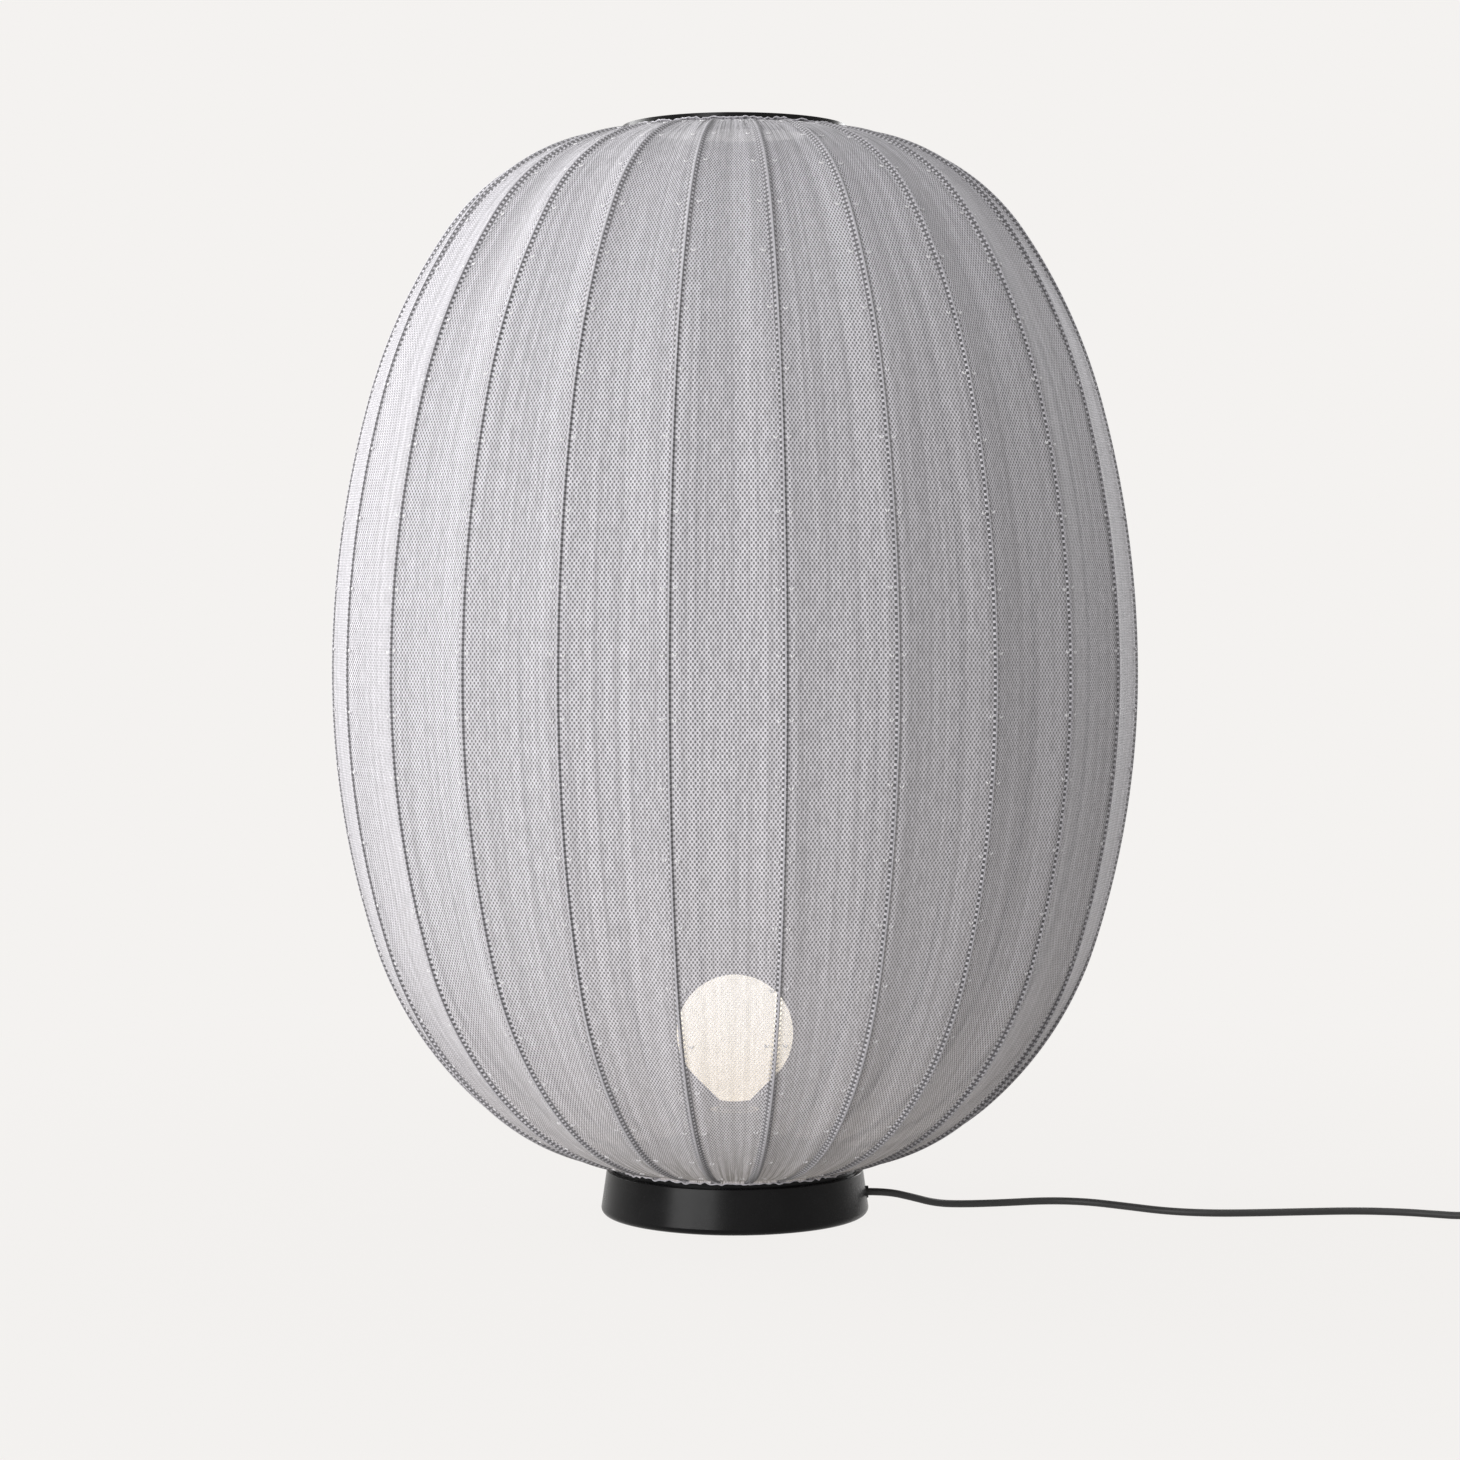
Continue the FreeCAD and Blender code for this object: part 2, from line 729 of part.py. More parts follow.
tip_low = contact_top + d.running_gap
cap_low = tip_low + d.tip_height + d.running_gap
cap_high = cap_low + d.cap_length
neck_radius = d.cap_radius - d.cap_wall - d.cap_fit
throat_z = cap_high + d.bulb_neck_length
centre_reach = d.bulb_radius + d.bulb_throat
throat_r = neck_radius + d.bulb_throat
centre_apart = centre_reach * centre_reach + d.bulb_cone * d.bulb_cone
centre_drop = root(centre_apart - throat_r * throat_r)
bulb_centre = throat_z + centre_drop
inner_radius = d.bulb_radius - d.bulb_wall
cone_out = (centre_reach * throat_r + d.bulb_cone * centre_drop) / centre_apart
cone_down = (centre_reach * centre_drop - d.bulb_cone * throat_r) / centre_apart


def on_globe(radius):
    """Point of the globe's section, at radius from its centre, where the cone below leaves it."""
    return cone_out * radius, bulb_centre - cone_down * radius


def in_throat(radius):
    """Point of the throat's section, at radius from its centre, where the cone above leaves it."""
    return throat_r - cone_out * radius, throat_z + cone_down * radius


bulb = new_body("bulb_globe")
turn(bulb, [
    (neck_radius, cap_high - d.neck_grip),
    (neck_radius, throat_z, -d.bulb_throat),
    in_throat(d.bulb_throat),
    (*on_globe(d.bulb_radius), d.bulb_radius),
    (0, bulb_centre + d.bulb_radius),
    (0, bulb_centre + inner_radius, -inner_radius),
    on_globe(inner_radius),
    (*in_throat(d.bulb_throat + d.bulb_wall), d.bulb_throat + d.bulb_wall),
    (neck_radius - d.bulb_wall, throat_z),
    (neck_radius - d.bulb_wall, cap_high - d.neck_grip),
])

cap = new_body("bulb_cap")
turn(cap, [
    (d.tip_shoulder, cap_low),
    (d.cap_radius, cap_low + d.cap_radius - d.tip_shoulder),
    (d.cap_radius, cap_high),
    (d.cap_radius - d.cap_wall, cap_high),
    (d.cap_radius - d.cap_wall, cap_low + d.cap_radius - d.tip_shoulder + d.cap_wall),
    (0, cap_low + d.cap_radius - d.tip_shoulder + d.cap_wall),
    (0, cap_low),
])

tip = new_body("bulb_tip")
turn(tip, [(0, tip_low), (d.tip_radius, tip_low), (d.tip_shoulder, tip_low + d.tip_height),
           (0, tip_low + d.tip_height)])

# Shade outline: three arcs up and three arcs down from the widest line

upper_radii = [d.upper_side_radius.value, d.upper_shoulder_radius.value, d.crown_radius.value]
upper_turns = [math.radians(d.upper_side_turn.value), math.radians(d.upper_shoulder_turn.value)]
lower_radii = [d.lower_side_radius.value, d.lower_shoulder_radius.value, d.belly_radius.value]
lower_turns = [math.radians(d.lower_side_turn.value), math.radians(d.lower_shoulder_turn.value)]
rib_inset = d.knit_thickness.value + d.rib_to_knit.value + d.rib_radius.value


def half_outline(radii, turns, inset, end_radius):
    """Arcs from the widest line to end_radius: centre (r, height), radius, first and last angle."""
    arcs = []
    centre_r, centre_h, first = d.shade_radius.value - radii[0], 0.0, 0.0
    for index, radius in enumerate(radii):
        if index < len(turns):
            last = turns[index]
        else:
            last = math.acos((end_radius - centre_r) / (radius - inset))
        arcs.append((centre_r, centre_h, radius - inset, first, last))
        if index < len(turns):
            shrink = radius - radii[index + 1]
            centre_r += shrink * math.cos(last)
            centre_h += shrink * math.sin(last)
            first = last
    return arcs


def end_of(arcs):
    """Last point (r, height) of a half outline and the angle of its normal."""
    centre_r, centre_h, radius, _, angle = arcs[-1]
    return centre_r + radius * math.cos(angle), centre_h + radius * math.sin(angle), angle


bottom_ring_r = bottom_ring_radius.value
top_ring_r = d.top_ring_radius.value
_, lower_drop, lower_angle = end_of(half_outline(lower_radii, lower_turns, rib_inset, bottom_ring_r))
_, upper_rise, upper_angle = end_of(half_outline(upper_radii, upper_turns, rib_inset, top_ring_r))
bottom_hole_z = (deck + d.bottom_ring_stand).value
equator = bottom_hole_z + lower_drop
top_hole_z = equator + upper_rise
rib_step = 360 / rib_count

# Rings


def rib_holes(body, ring_radius, height, slope):
    """Blind holes for the rib ends, drilled along the ribs from the ring's outer face."""
    along = Vector(-math.sin(slope), 0, math.cos(slope))
    lead_in = 2 * d.rib_radius.value
    hole = body.newObject("PartDesign::SubtractiveCylinder", f"{body.Name}_rib_hole")
    bind(hole, Radius=d.rib_radius + d.rib_fit, Height=d.rib_seat + d.rib_fit + d.rib_radius * 2)
    start = Vector(ring_radius, 0, height) - along * lead_in
    phase = Placement(Vector(0, 0, 0), Rotation(Vector(0, 0, 1), rib_step / 2))
    hole.Placement = phase.multiply(Placement(start, Rotation(Vector(0, 0, 1), along)))
    doc.recompute()
    repeat_round(body, [hole], rib_count)


bottom_ring = new_body("bottom_ring")
ring_inner = bottom_ring_radius - d.ring_thickness
bottom_ring_top = deck + d.bottom_ring_stand + d.ring_behind_ribs
turn(bottom_ring, [(ring_inner, deck), (bottom_ring_radius, deck),
                   (bottom_ring_radius, bottom_ring_top), (ring_inner, bottom_ring_top)])
tapped_hole = cut_up(bottom_ring, d.ring_screw_grip + d.screw_hole_clearance, deck, [
    (ring_screw_circle, 0, d.ring_screw_radius + d.screw_fit)])
repeat_round(bottom_ring, [tapped_hole], ring_screw_count)
rib_holes(bottom_ring, bottom_ring_r, bottom_hole_z, math.pi - lower_angle)

ring_screws = new_body("ring_screws")
ring_screw = turn(ring_screws, screw_outline(
    ring_screw_circle, deck_under, deck + d.ring_screw_grip, d.ring_screw_radius,
    d.ring_screw_head_radius, deck_under - d.ring_screw_head_height),
    axis=[(ring_screw_circle, deck_under), (ring_screw_circle, deck)])
repeat_round(ring_screws, [ring_screw], ring_screw_count)

top_ring = new_body("top_ring")
top_ring_inner = d.top_ring_radius - d.ring_thickness
turn(top_ring, [
    (top_ring_inner, -d.ring_behind_ribs), (d.top_ring_radius, -d.ring_behind_ribs),
    (d.top_ring_radius, d.top_ring_stand), (top_ring_inner, d.top_ring_stand)])
rib_holes(top_ring, top_ring_r, 0.0, upper_angle)
top_ring.Placement = Placement(Vector(0, 0, top_hole_z), Rotation())

# Ribs


def outline_point(arc, angle, lower):
    """Point (r, z) on an arc of the outline, for the lower or the upper half."""
    centre_r, centre_h, radius, _, _ = arc
    height = centre_h + radius * math.sin(angle)
    return centre_r + radius * math.cos(angle), equator - height if lower else equator + height


def arc_edge(arc, lower):
    _, _, _, first, last = arc
    places = [outline_point(arc, angle, lower) for angle in (first, (first + last) / 2, last)]
    return Part.Arc(*[Vector(r, 0, z) for r, z in places]).toShape()


lower_arcs = half_outline(lower_radii, lower_turns, rib_inset, bottom_ring_r - d.rib_seat.value)
upper_arcs = half_outline(upper_radii, upper_turns, rib_inset, top_ring_r - d.rib_seat.value)
rib_edges = [arc_edge(arc, True) for arc in lower_arcs] + [arc_edge(arc, False) for arc in upper_arcs]
rib_path = Part.Wire(Part.__sortEdges__(rib_edges))
rib_shape = sweep_tube(rib_path, d.rib_radius.value, "rib")
for index in range(rib_count):
    turned_by = Rotation(Vector(0, 0, 1), (index + 0.5) * rib_step - 90)
    add_shape(f"rib_{index + 1:02d}", rib_shape, Placement(Vector(0, 0, 0), turned_by))

# Knitted cover: creased over the ribs and drawn in between them


def cover_section(r, z, angle, sag):
    """Closed line round the cover: one arc a panel, drawn inwards in its middle."""
    half = math.pi / rib_count
    middle_r = r * math.cos(half) - sag * math.cos(angle)
    middle_z = z - sag * math.sin(angle)
    edges = []
    for index in range(rib_count):
        first = (2 * index + 1) * half
        corner = Vector(r * math.cos(first), r * math.sin(first), z)
        bend = first + half
        middle = Vector(middle_r * math.cos(bend), middle_r * math.sin(bend), middle_z)
        last = bend + half
        edges.append(Part.Arc(corner, middle, Vector(r * math.cos(last), r * math.sin(last), z)).toShape())
    return Part.Wire(edges)


def cover_solid(inset):
    """Solid inside the knit at the given depth below its outer face."""
    overrun = d.ring_thickness.value / 2
    sections = []
    lower = half_outline(lower_radii, lower_turns, 0, bottom_ring_r - overrun)
    upper = half_outline(upper_radii, upper_turns, 0, top_ring_r - overrun)
    stations = []
    for arc in reversed(lower):
        steps = [arc[4] + (arc[3] - arc[4]) * k / sections_per_arc for k in range(sections_per_arc)]
        stations += [(arc, angle, True) for angle in steps]
    for arc in upper:
        steps = [arc[3] + (arc[4] - arc[3]) * k / sections_per_arc for k in range(sections_per_arc)]
        stations += [(arc, angle, False) for angle in steps]
    stations.append((upper[-1], upper[-1][4], False))
    for number, (arc, angle, is_lower) in enumerate(stations):
        moved = (arc[0], arc[1], arc[2] - inset, arc[3], arc[4])
        r, z = outline_point(moved, angle, is_lower)
        sag = d.panel_sag.value * r / d.shade_radius.value
        normal = -angle if is_lower else angle
        level = number in (0, len(stations) - 1)
        sections.append(cover_section(r, z, 0.0 if level else normal, sag))
    return Part.makeLoft(sections, True, False)


cover = cover_solid(0.0).cut(cover_solid(d.knit_thickness.value))
mouth_height = top_hole_z - equator + 2 * d.top_ring_stand.value
cover = cover.cut(Part.makeCylinder(bottom_ring_r + d.hem_clearance.value, equator))
cover = cover.cut(Part.makeCylinder(top_ring_r + d.hem_clearance.value, mouth_height, Vector(0, 0, equator)))
add_shape("knit_cover", cover.Solids[0] if len(cover.Solids) == 1 else cover)

# Foot switch, about its own middle on the floor

switch_place = Placement(Vector(d.switch_x.value, d.switch_y.value, 0), Rotation())
switch_outline = rounded_rectangle(d.switch_length, d.switch_width, d.switch_corner)
switch_hollow = rounded_rectangle(d.switch_length - d.switch_wall * 2, d.switch_width - d.switch_wall * 2,
                                  d.switch_corner - d.switch_wall)
switch_screw_x = d.switch_screw_spacing / 2
cover_under = d.switch_height - d.switch_top_thickness
boss_bore = d.switch_screw_radius + d.screw_fit
head_recess = d.switch_screw_head_height + d.screw_hole_clearance
screw_ends = (switch_screw_x, -switch_screw_x)

switch_base = new_body("switch_base")
pad(switch_base, d.switch_base_height, outline=switch_outline)
cut_up(switch_base, d.switch_base_height, d.switch_floor, outline=switch_hollow)
pad(switch_base, d.post_height, d.switch_floor, circles=[(0, 0, d.post_radius)])
cut_through(switch_base, [(x, 0, d.switch_screw_radius + d.screw_hole_clearance) for x in screw_ends])
floor_sketch = new_sketch(switch_base, "XY_Plane")
for x in screw_ends:
    draw_circle(floor_sketch, x, 0, d.switch_screw_head_radius + d.screw_hole_clearance)
head_pocket = switch_base.newObject("PartDesign::Pocket", "switch_base_head_recess")
head_pocket.Profile = floor_sketch
head_pocket.Reversed = True
bind(head_pocket, Length=head_recess)
switch_base.Placement = switch_place

switch_cover = new_body("switch_cover")
cover_block = pad(switch_cover, d.switch_height - d.switch_base_height, d.switch_base_height,
                  outline=switch_outline)
doc.recompute()
top_edges = [f"Edge{number}" for number, edge in enumerate(cover_block.Shape.Edges, start=1)
             if all(abs(vertex.Z - d.switch_height.value) < 1e-6 for vertex in edge.Vertexes)]
edge_round = switch_cover.newObject("PartDesign::Fillet", "switch_cover_round")
edge_round.Base = (cover_block, top_edges)
bind(edge_round, Radius=d.switch_edge_round)
cut_up(switch_cover, cover_under - d.switch_base_height, d.switch_base_height, outline=switch_hollow)
cut_through(switch_cover, [(0, 0, d.button_radius + d.button_fit)])
pad(switch_cover, cover_under - d.switch_floor, d.switch_floor, circles=[
    (x, 0, radius) for x in screw_ends for radius in (boss_bore + d.switch_boss_wall, boss_bore)])
switch_cover.Placement = switch_place

button = new_body("switch_button")
flange_top = cover_under - d.running_gap
flange_low = flange_top - d.button_flange_thickness
button_top = d.switch_height + d.button_proud
button_recess_radius = d.spring_radius + d.spring_wire + d.spring_clearance
recess_top = flange_low + d.button_recess
turn(button, [
    (button_recess_radius, flange_low),
    (d.button_radius + d.button_flange, flange_low),
    (d.button_radius + d.button_flange, flange_top),
    (d.button_radius, flange_top),
    (d.button_radius, button_top - d.button_round, d.button_round),
    (d.button_radius - d.button_round, button_top),
    (0, button_top),
    (0, recess_top),
    (button_recess_radius, recess_top),
])
button.Placement = switch_place

spring_low = (d.switch_floor + d.spring_wire + d.running_gap).value
spring_high = (recess_top - d.spring_wire - d.running_gap).value
spring_rise = (spring_high - spring_low) / (2 * math.pi * spring_turns)
spring_path = Part.Wire(wound_path(
    Vector(0, 0, 0), lambda angle: d.spring_radius.value,
    lambda angle: spring_low + spring_rise * angle, spring_turns))
spring_tube = sweep_tube(spring_path, d.spring_wire.value, "switch_spring")
add_shape("switch_spring", spring_tube, switch_place)
spring_skip = math.pi * d.spring_radius.value
print(f"switch_spring: gap to itself {self_gap(spring_path, d.spring_wire.value, spring_skip):.2f} mm")

switch_screws = new_body("switch_screws")
screw_seat = head_recess
switch_screw = turn(switch_screws, screw_outline(
    switch_screw_x, screw_seat, screw_seat + d.switch_screw_length, d.switch_screw_radius,
    d.switch_screw_head_radius, screw_seat - d.switch_screw_head_height),
    axis=[(switch_screw_x, screw_seat), (switch_screw_x, screw_seat + d.switch_screw_length)])
repeat_round(switch_screws, [switch_screw], len(screw_ends))
switch_screws.Placement = switch_place

# Cord: free stretch to the switch, stretch to the coil, coil, and tail to the plug

cord_radius = d.cord_radius.value
switch_half = d.switch_length.value / 2
switch_y = d.switch_y.value
inlet_x = d.switch_x.value - switch_half
outlet_x = d.switch_x.value + switch_half
at_switch = d.switch_cord_height.value


def lay(points):
    """Points of a cord given as x, y and the lift of the cord above the floor."""
    return [Vector(x, y, cord_radius + lift) for x, y, lift in points]


lamp_route = [Vector(exit_x.value + along, 0, d.cord_height.value) for along in (0, 16)]
lamp_route += lay([
    (144, 4.5, 9.6), (164, 14, 2.8), (185, 25, 0), (220, 31.5, 0), (257, 43, 0), (290, 38.5, 0),
    (319, 19, 0), (351, -4, 0), (385, -12.5, 0), (420, -10.5, 0), (462, -4.5, 0), (505, 0.8, 0),
    (541, -3.5, 0), (567, -13, 0), (586, -23, 0.4)])
lamp_route += [Vector(inlet_x - back, switch_y, at_switch) for back in (18, 0)]

coil_middle = Vector(d.coil_x.value, d.coil_y.value, cord_radius + d.coil_lift.value)
pitch = d.coil_pitch.value
turning_point = coil_turns * math.pi


def coil_radius(angle):
    """Spirals in to the middle of the coil's length, and out again."""
    away = math.sqrt((angle - turning_point) ** 2 + (math.pi / 12) ** 2)
    return d.coil_inner_radius.value + pitch * away / (2 * math.pi)


def coil_height(angle):
    """Climbs from the lower to the upper layer in the half turn where the spiral reverses."""
    share = min(max((angle - turning_point) / math.pi + 0.5, 0.0), 1.0)
    return pitch * share * share * (3 - 2 * share)


coil_edges = wound_path(coil_middle, coil_radius, coil_height, coil_turns)
coil_start = coil_edges[0].valueAt(coil_edges[0].FirstParameter)
coil_stop = coil_edges[-1].valueAt(coil_edges[-1].FirstParameter)
coil_heading = coil_edges[0].tangentAt(coil_edges[0].FirstParameter)
coil_leaving = coil_edges[-1].tangentAt(coil_edges[-1].FirstParameter) * -1
coil_in = coil_start - coil_heading * (2 * cord_radius)
coil_out = coil_stop + coil_leaving * (2 * cord_radius)
coil_edges = [Part.LineSegment(coil_in, coil_start).toShape()] + coil_edges
coil_edges += [Part.LineSegment(coil_stop, coil_out).toShape()]
coil_path = Part.Wire(coil_edges)

coil_route = [Vector(outlet_x, switch_y, at_switch), Vector(outlet_x + 21, switch_y, at_switch)]
coil_route += lay([(745, -18.5, 1.4), (754.5, 4, 0.5), (756, 34, 0.8)])
coil_route += [coil_in - coil_heading * 30, coil_in]

plug_middle = d.plug_thickness.value / 2
plug_start = Vector(coil_out.x, coil_out.y + d.plug_run.value, plug_middle)
plug_route = [coil_out, coil_out + coil_leaving * 18]
plug_route += [Vector(coil_out.x - 1.5, coil_out.y + 34, 9.5), plug_start - Vector(0, 16, 0), plug_start]

for name, points in (("cord_lamp_to_switch", lamp_route), ("cord_switch_to_coil", coil_route),
                     ("cord_coil_to_plug", plug_route)):
    path, radii = rounded_path(points)
    print(name, "arc radii", " ".join(f"{radius:.0f}" for radius in radii))
    add_shape(name, sweep_tube(path, cord_radius, name))
add_shape("cord_coil", sweep_tube(coil_path, cord_radius, "cord_coil"))
coil_skip = math.pi * d.coil_inner_radius.value
print(f"cord_coil: gap to itself {self_gap(coil_path, cord_radius, coil_skip):.2f} mm")

# Plug, about its own axis with the pins along +X, laid with the pins towards +Y

plug_place = Placement(plug_start, Rotation(Vector(0, 0, 1), 90))
plug = new_body("plug_body")
pad(plug, d.plug_thickness, -d.plug_thickness / 2, outline=[
    (0, -d.plug_rear_width / 2), (d.plug_shoulder, -d.plug_width / 2), (d.plug_length, -d.plug_width / 2),
    (d.plug_length, d.plug_width / 2), (d.plug_shoulder, d.plug_width / 2), (0, d.plug_rear_width / 2)])
doc.recompute()
plug_edges = [f"Edge{number}" for number, edge in enumerate(plug.Tip.Shape.Edges, start=1)
              if edge.BoundBox.XMin < d.plug_length.value - 1e-6 and edge.BoundBox.XMax > 1e-6
              and edge.BoundBox.ZLength < 1e-6]
plug_round = plug.newObject("PartDesign::Fillet", "plug_body_round")
plug_round.Base = (plug.Group[1], plug_edges)
bind(plug_round, Radius=d.plug_round)
plug.Placement = plug_place

pins = new_body("plug_pins")
pin_end = d.plug_length + d.pin_length
pin_side = d.pin_spacing / 2
pin = turn(pins, [
    (d.plug_length, pin_side), (pin_end, pin_side, d.pin_radius),
    (pin_end - d.pin_radius, pin_side + d.pin_radius), (d.plug_length, pin_side + d.pin_radius),
], role="XY_Plane", axis=[(d.plug_length, pin_side), (pin_end, pin_side)])
repeat_round(pins, [pin], 2, "X_Axis")
pins.Placement = plug_place

# Check everything, then write one file a piece

doc.recompute()
for item in doc.Objects:
    faults = [state for state in item.State if state in ("Invalid", "Error")]
    assert not faults, f"{item.Label}: {faults}"
for node in nodes:
    shape = node.Shape
    assert not shape.isNull() and shape.isValid() and shape.Solids, f"{node.Label} has no good solid"
    assert shape.Volume > 0, f"{node.Label} is inside out"
for node in nodes:
    node.Shape.exportStep(f"parts/{node.Label}.step")
whole = Part.makeCompound([node.Shape for node in nodes]).BoundBox
print(f"{len(nodes)} pieces, widest line at {equator:.1f} mm, top at {whole.ZMax:.1f} mm")
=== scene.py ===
import json
import math
import random

import bpy
import numpy as np
from mathutils import Matrix, Vector


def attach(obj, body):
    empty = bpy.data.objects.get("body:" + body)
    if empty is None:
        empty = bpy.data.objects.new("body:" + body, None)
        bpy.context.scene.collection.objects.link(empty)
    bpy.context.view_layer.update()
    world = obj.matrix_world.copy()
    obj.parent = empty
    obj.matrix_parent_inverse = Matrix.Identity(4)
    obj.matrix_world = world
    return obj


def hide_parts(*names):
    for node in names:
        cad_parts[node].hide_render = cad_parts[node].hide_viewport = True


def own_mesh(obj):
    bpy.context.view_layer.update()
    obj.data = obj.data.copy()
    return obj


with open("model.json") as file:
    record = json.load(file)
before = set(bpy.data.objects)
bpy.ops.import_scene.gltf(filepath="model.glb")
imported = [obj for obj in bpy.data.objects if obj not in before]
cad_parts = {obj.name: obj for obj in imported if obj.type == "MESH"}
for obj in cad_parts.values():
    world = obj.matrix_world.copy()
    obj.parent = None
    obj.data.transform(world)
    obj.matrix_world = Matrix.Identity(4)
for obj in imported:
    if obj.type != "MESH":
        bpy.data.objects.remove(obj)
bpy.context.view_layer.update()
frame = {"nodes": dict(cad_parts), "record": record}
nodes = frame["nodes"]
scene = bpy.context.scene
scene.view_settings.view_transform = "Standard"
tau = 2 * math.pi
millimetres = 1000              # in a metre
print("frame loaded,", len(nodes), "nodes")


# Helpers for objects

def addObject(name, data):
    made = bpy.data.objects.new(name, data)
    scene.collection.objects.link(made)
    return made


def addMesh(name, points, faces):
    mesh = bpy.data.meshes.new(name)
    mesh.from_pydata(np.asarray(points, float).tolist(), [], faces)
    mesh.polygons.foreach_set("use_smooth", [True] * len(mesh.polygons))
    mesh.update()
    return addObject(name, mesh)


def gridFaces(rows, columns, rowsClosed=False):
    # quads of a grid whose columns run round, and whose rows may
    faces = []
    for row in range(rows if rowsClosed else rows - 1):
        above = (row + 1) % rows
        for column in range(columns):
            after = (column + 1) % columns
            faces.append((row * columns + column, row * columns + after,
                          above * columns + after, above * columns + column))
    return faces


def smoothStep(low, high, value):
    share = np.clip((value - low) / (high - low), 0.0, 1.0)
    return share * share * (3 - 2 * share)


# Camera, at the photograph's viewing angle

cameraSet = {
    "place": (-0.0040, -2.7628, 0.5060),
    "tiltDown": 2.309,          # degrees
    "around": 1.1,              # degrees round the lamp's axis, to the right
    "lens": 83.9,
    "sensor": 36.0,
}


def makeCamera():
    data = bpy.data.cameras.new("camera")
    data.lens = cameraSet["lens"]
    data.sensor_width = cameraSet["sensor"]
    made = addObject("camera", data)
    around = math.radians(cameraSet["around"])
    made.location = Matrix.Rotation(around, 3, "Z") @ Vector(cameraSet["place"])
    made.rotation_euler = (math.radians(90 - cameraSet["tiltDown"]), 0, around)
    scene.camera = made


makeCamera()
print("camera placed")


# Cord: from the base to the foot switch, then on through the coil to the plug

cordSet = {
    "diameter": 0.0060,
    "stepsAPoint": 8,
    "roundSteps": 5,
    "lampLength": 0.541,
    "plugLength": 1.817,
    "lampRoute": [
        (0.10895, 0, 0.0175), (0.12495, 0, 0.0175), (0.1440, 0.0045, 0.0126), (0.1640, 0.0140, 0.0058),
        (0.1850, 0.0250, 0.0030), (0.2200, 0.0315, 0.0030), (0.2570, 0.0430, 0.0030),
        (0.2900, 0.0385, 0.0030), (0.3190, 0.0190, 0.0030), (0.3510, -0.0040, 0.0030),
        (0.3850, -0.0125, 0.0030), (0.4200, -0.0105, 0.0030), (0.4620, -0.0045, 0.0030),
        (0.5050, 0.0008, 0.0030), (0.5410, -0.0035, 0.0030), (0.5670, -0.0130, 0.0030),
        (0.5860, -0.0230, 0.0034), (0.6040, -0.0300, 0.0060), (0.6220, -0.0300, 0.0060)],
    "switchRoute": [
        (0.7060, -0.0300, 0.0060), (0.7270, -0.0300, 0.0060), (0.7450, -0.0185, 0.0044),
        (0.7545, 0.0040, 0.0035), (0.7560, 0.0340, 0.0038), (0.7544, 0.0680, 0.0044),
        (0.7544, 0.0980, 0.0044)],
    "plugRoute": [
        (0.75438, 0.1100, 0.0109), (0.7541, 0.1280, 0.0109), (0.7529, 0.1440, 0.0095),
        (0.75438, 0.1600, 0.0070), (0.75438, 0.1760, 0.0070)],
}
coilSet = {
    "middle": (0.7070, 0.1040, 0.0044),
    "turns": 7,
    "pointsATurn": 18,
    "innerRadius": 0.0245,
    "pitch": 0.0065,
    "softReverse": math.pi / 12,    # how gently the spiral turns back at its inside
    "climbHalf": 0.5,               # half turns before and after that, in which it climbs to its upper layer
}


def coilPoints():
    middle = Vector(coilSet["middle"])
    halfWay = coilSet["turns"] * math.pi
    count = coilSet["turns"] * coilSet["pointsATurn"]
    found = []
    for step in range(count + 1):
        angle = tau * coilSet["turns"] * step / count
        away = math.hypot(angle - halfWay, coilSet["softReverse"])
        radius = coilSet["innerRadius"] + coilSet["pitch"] * away / tau
        upper = smoothStep(-coilSet["climbHalf"], coilSet["climbHalf"], (angle - halfWay) / math.pi)
        climb = coilSet["pitch"] * float(upper)
        found.append(middle + Vector((radius * math.cos(angle), radius * math.sin(angle), climb)))
    return found


def routeCurve(name, points):
    data = bpy.data.curves.new(name, "CURVE")
    data.dimensions = "3D"
    data.resolution_u = cordSet["stepsAPoint"]
    data.bevel_depth = cordSet["diameter"] / 2
    data.bevel_resolution = cordSet["roundSteps"]
    data.use_fill_caps = True
    spline = data.splines.new("NURBS")
    spline.points.add(len(points) - 1)
    for control, place in zip(spline.points, points):
        control.co = (*place, 1)
    spline.order_u = 3
    spline.use_endpoint_u = True
    return addObject(name, data)


def routeLine(cord):
    # points read along a cord's own spline, without its thickness
    bare = cord.copy()
    bare.data = cord.data.copy()
    bare.data.bevel_depth = 0
    scene.collection.objects.link(bare)
    graph = bpy.context.evaluated_depsgraph_get()
    mesh = bpy.data.meshes.new_from_object(bare.evaluated_get(graph))
    found = np.array([v.co for v in mesh.vertices])
    bpy.data.objects.remove(bare)
    bpy.data.meshes.remove(mesh)
    return found


lampCord = routeCurve("lamp_cord", cordSet["lampRoute"])
plugCord = routeCurve("plug_cord", cordSet["switchRoute"] + coilPoints() + cordSet["plugRoute"])
print("cords laid")


# Tapered boots where the cord goes into the switch and the plug

bootSet = {
    "length": 0.024,
    "atHousing": 0.0046,
    "atTip": 0.00335,
    "grooves": 5,
    "grooveDepth": 0.00035,
    "groovesFrom": 0.12,        # shares of the length
    "groovesSpan": 0.8,
    "fadeIn": 0.2,
    "fadeOut": (0.86, 0.94),
    "rings": 61,
    "sides": 28,
}


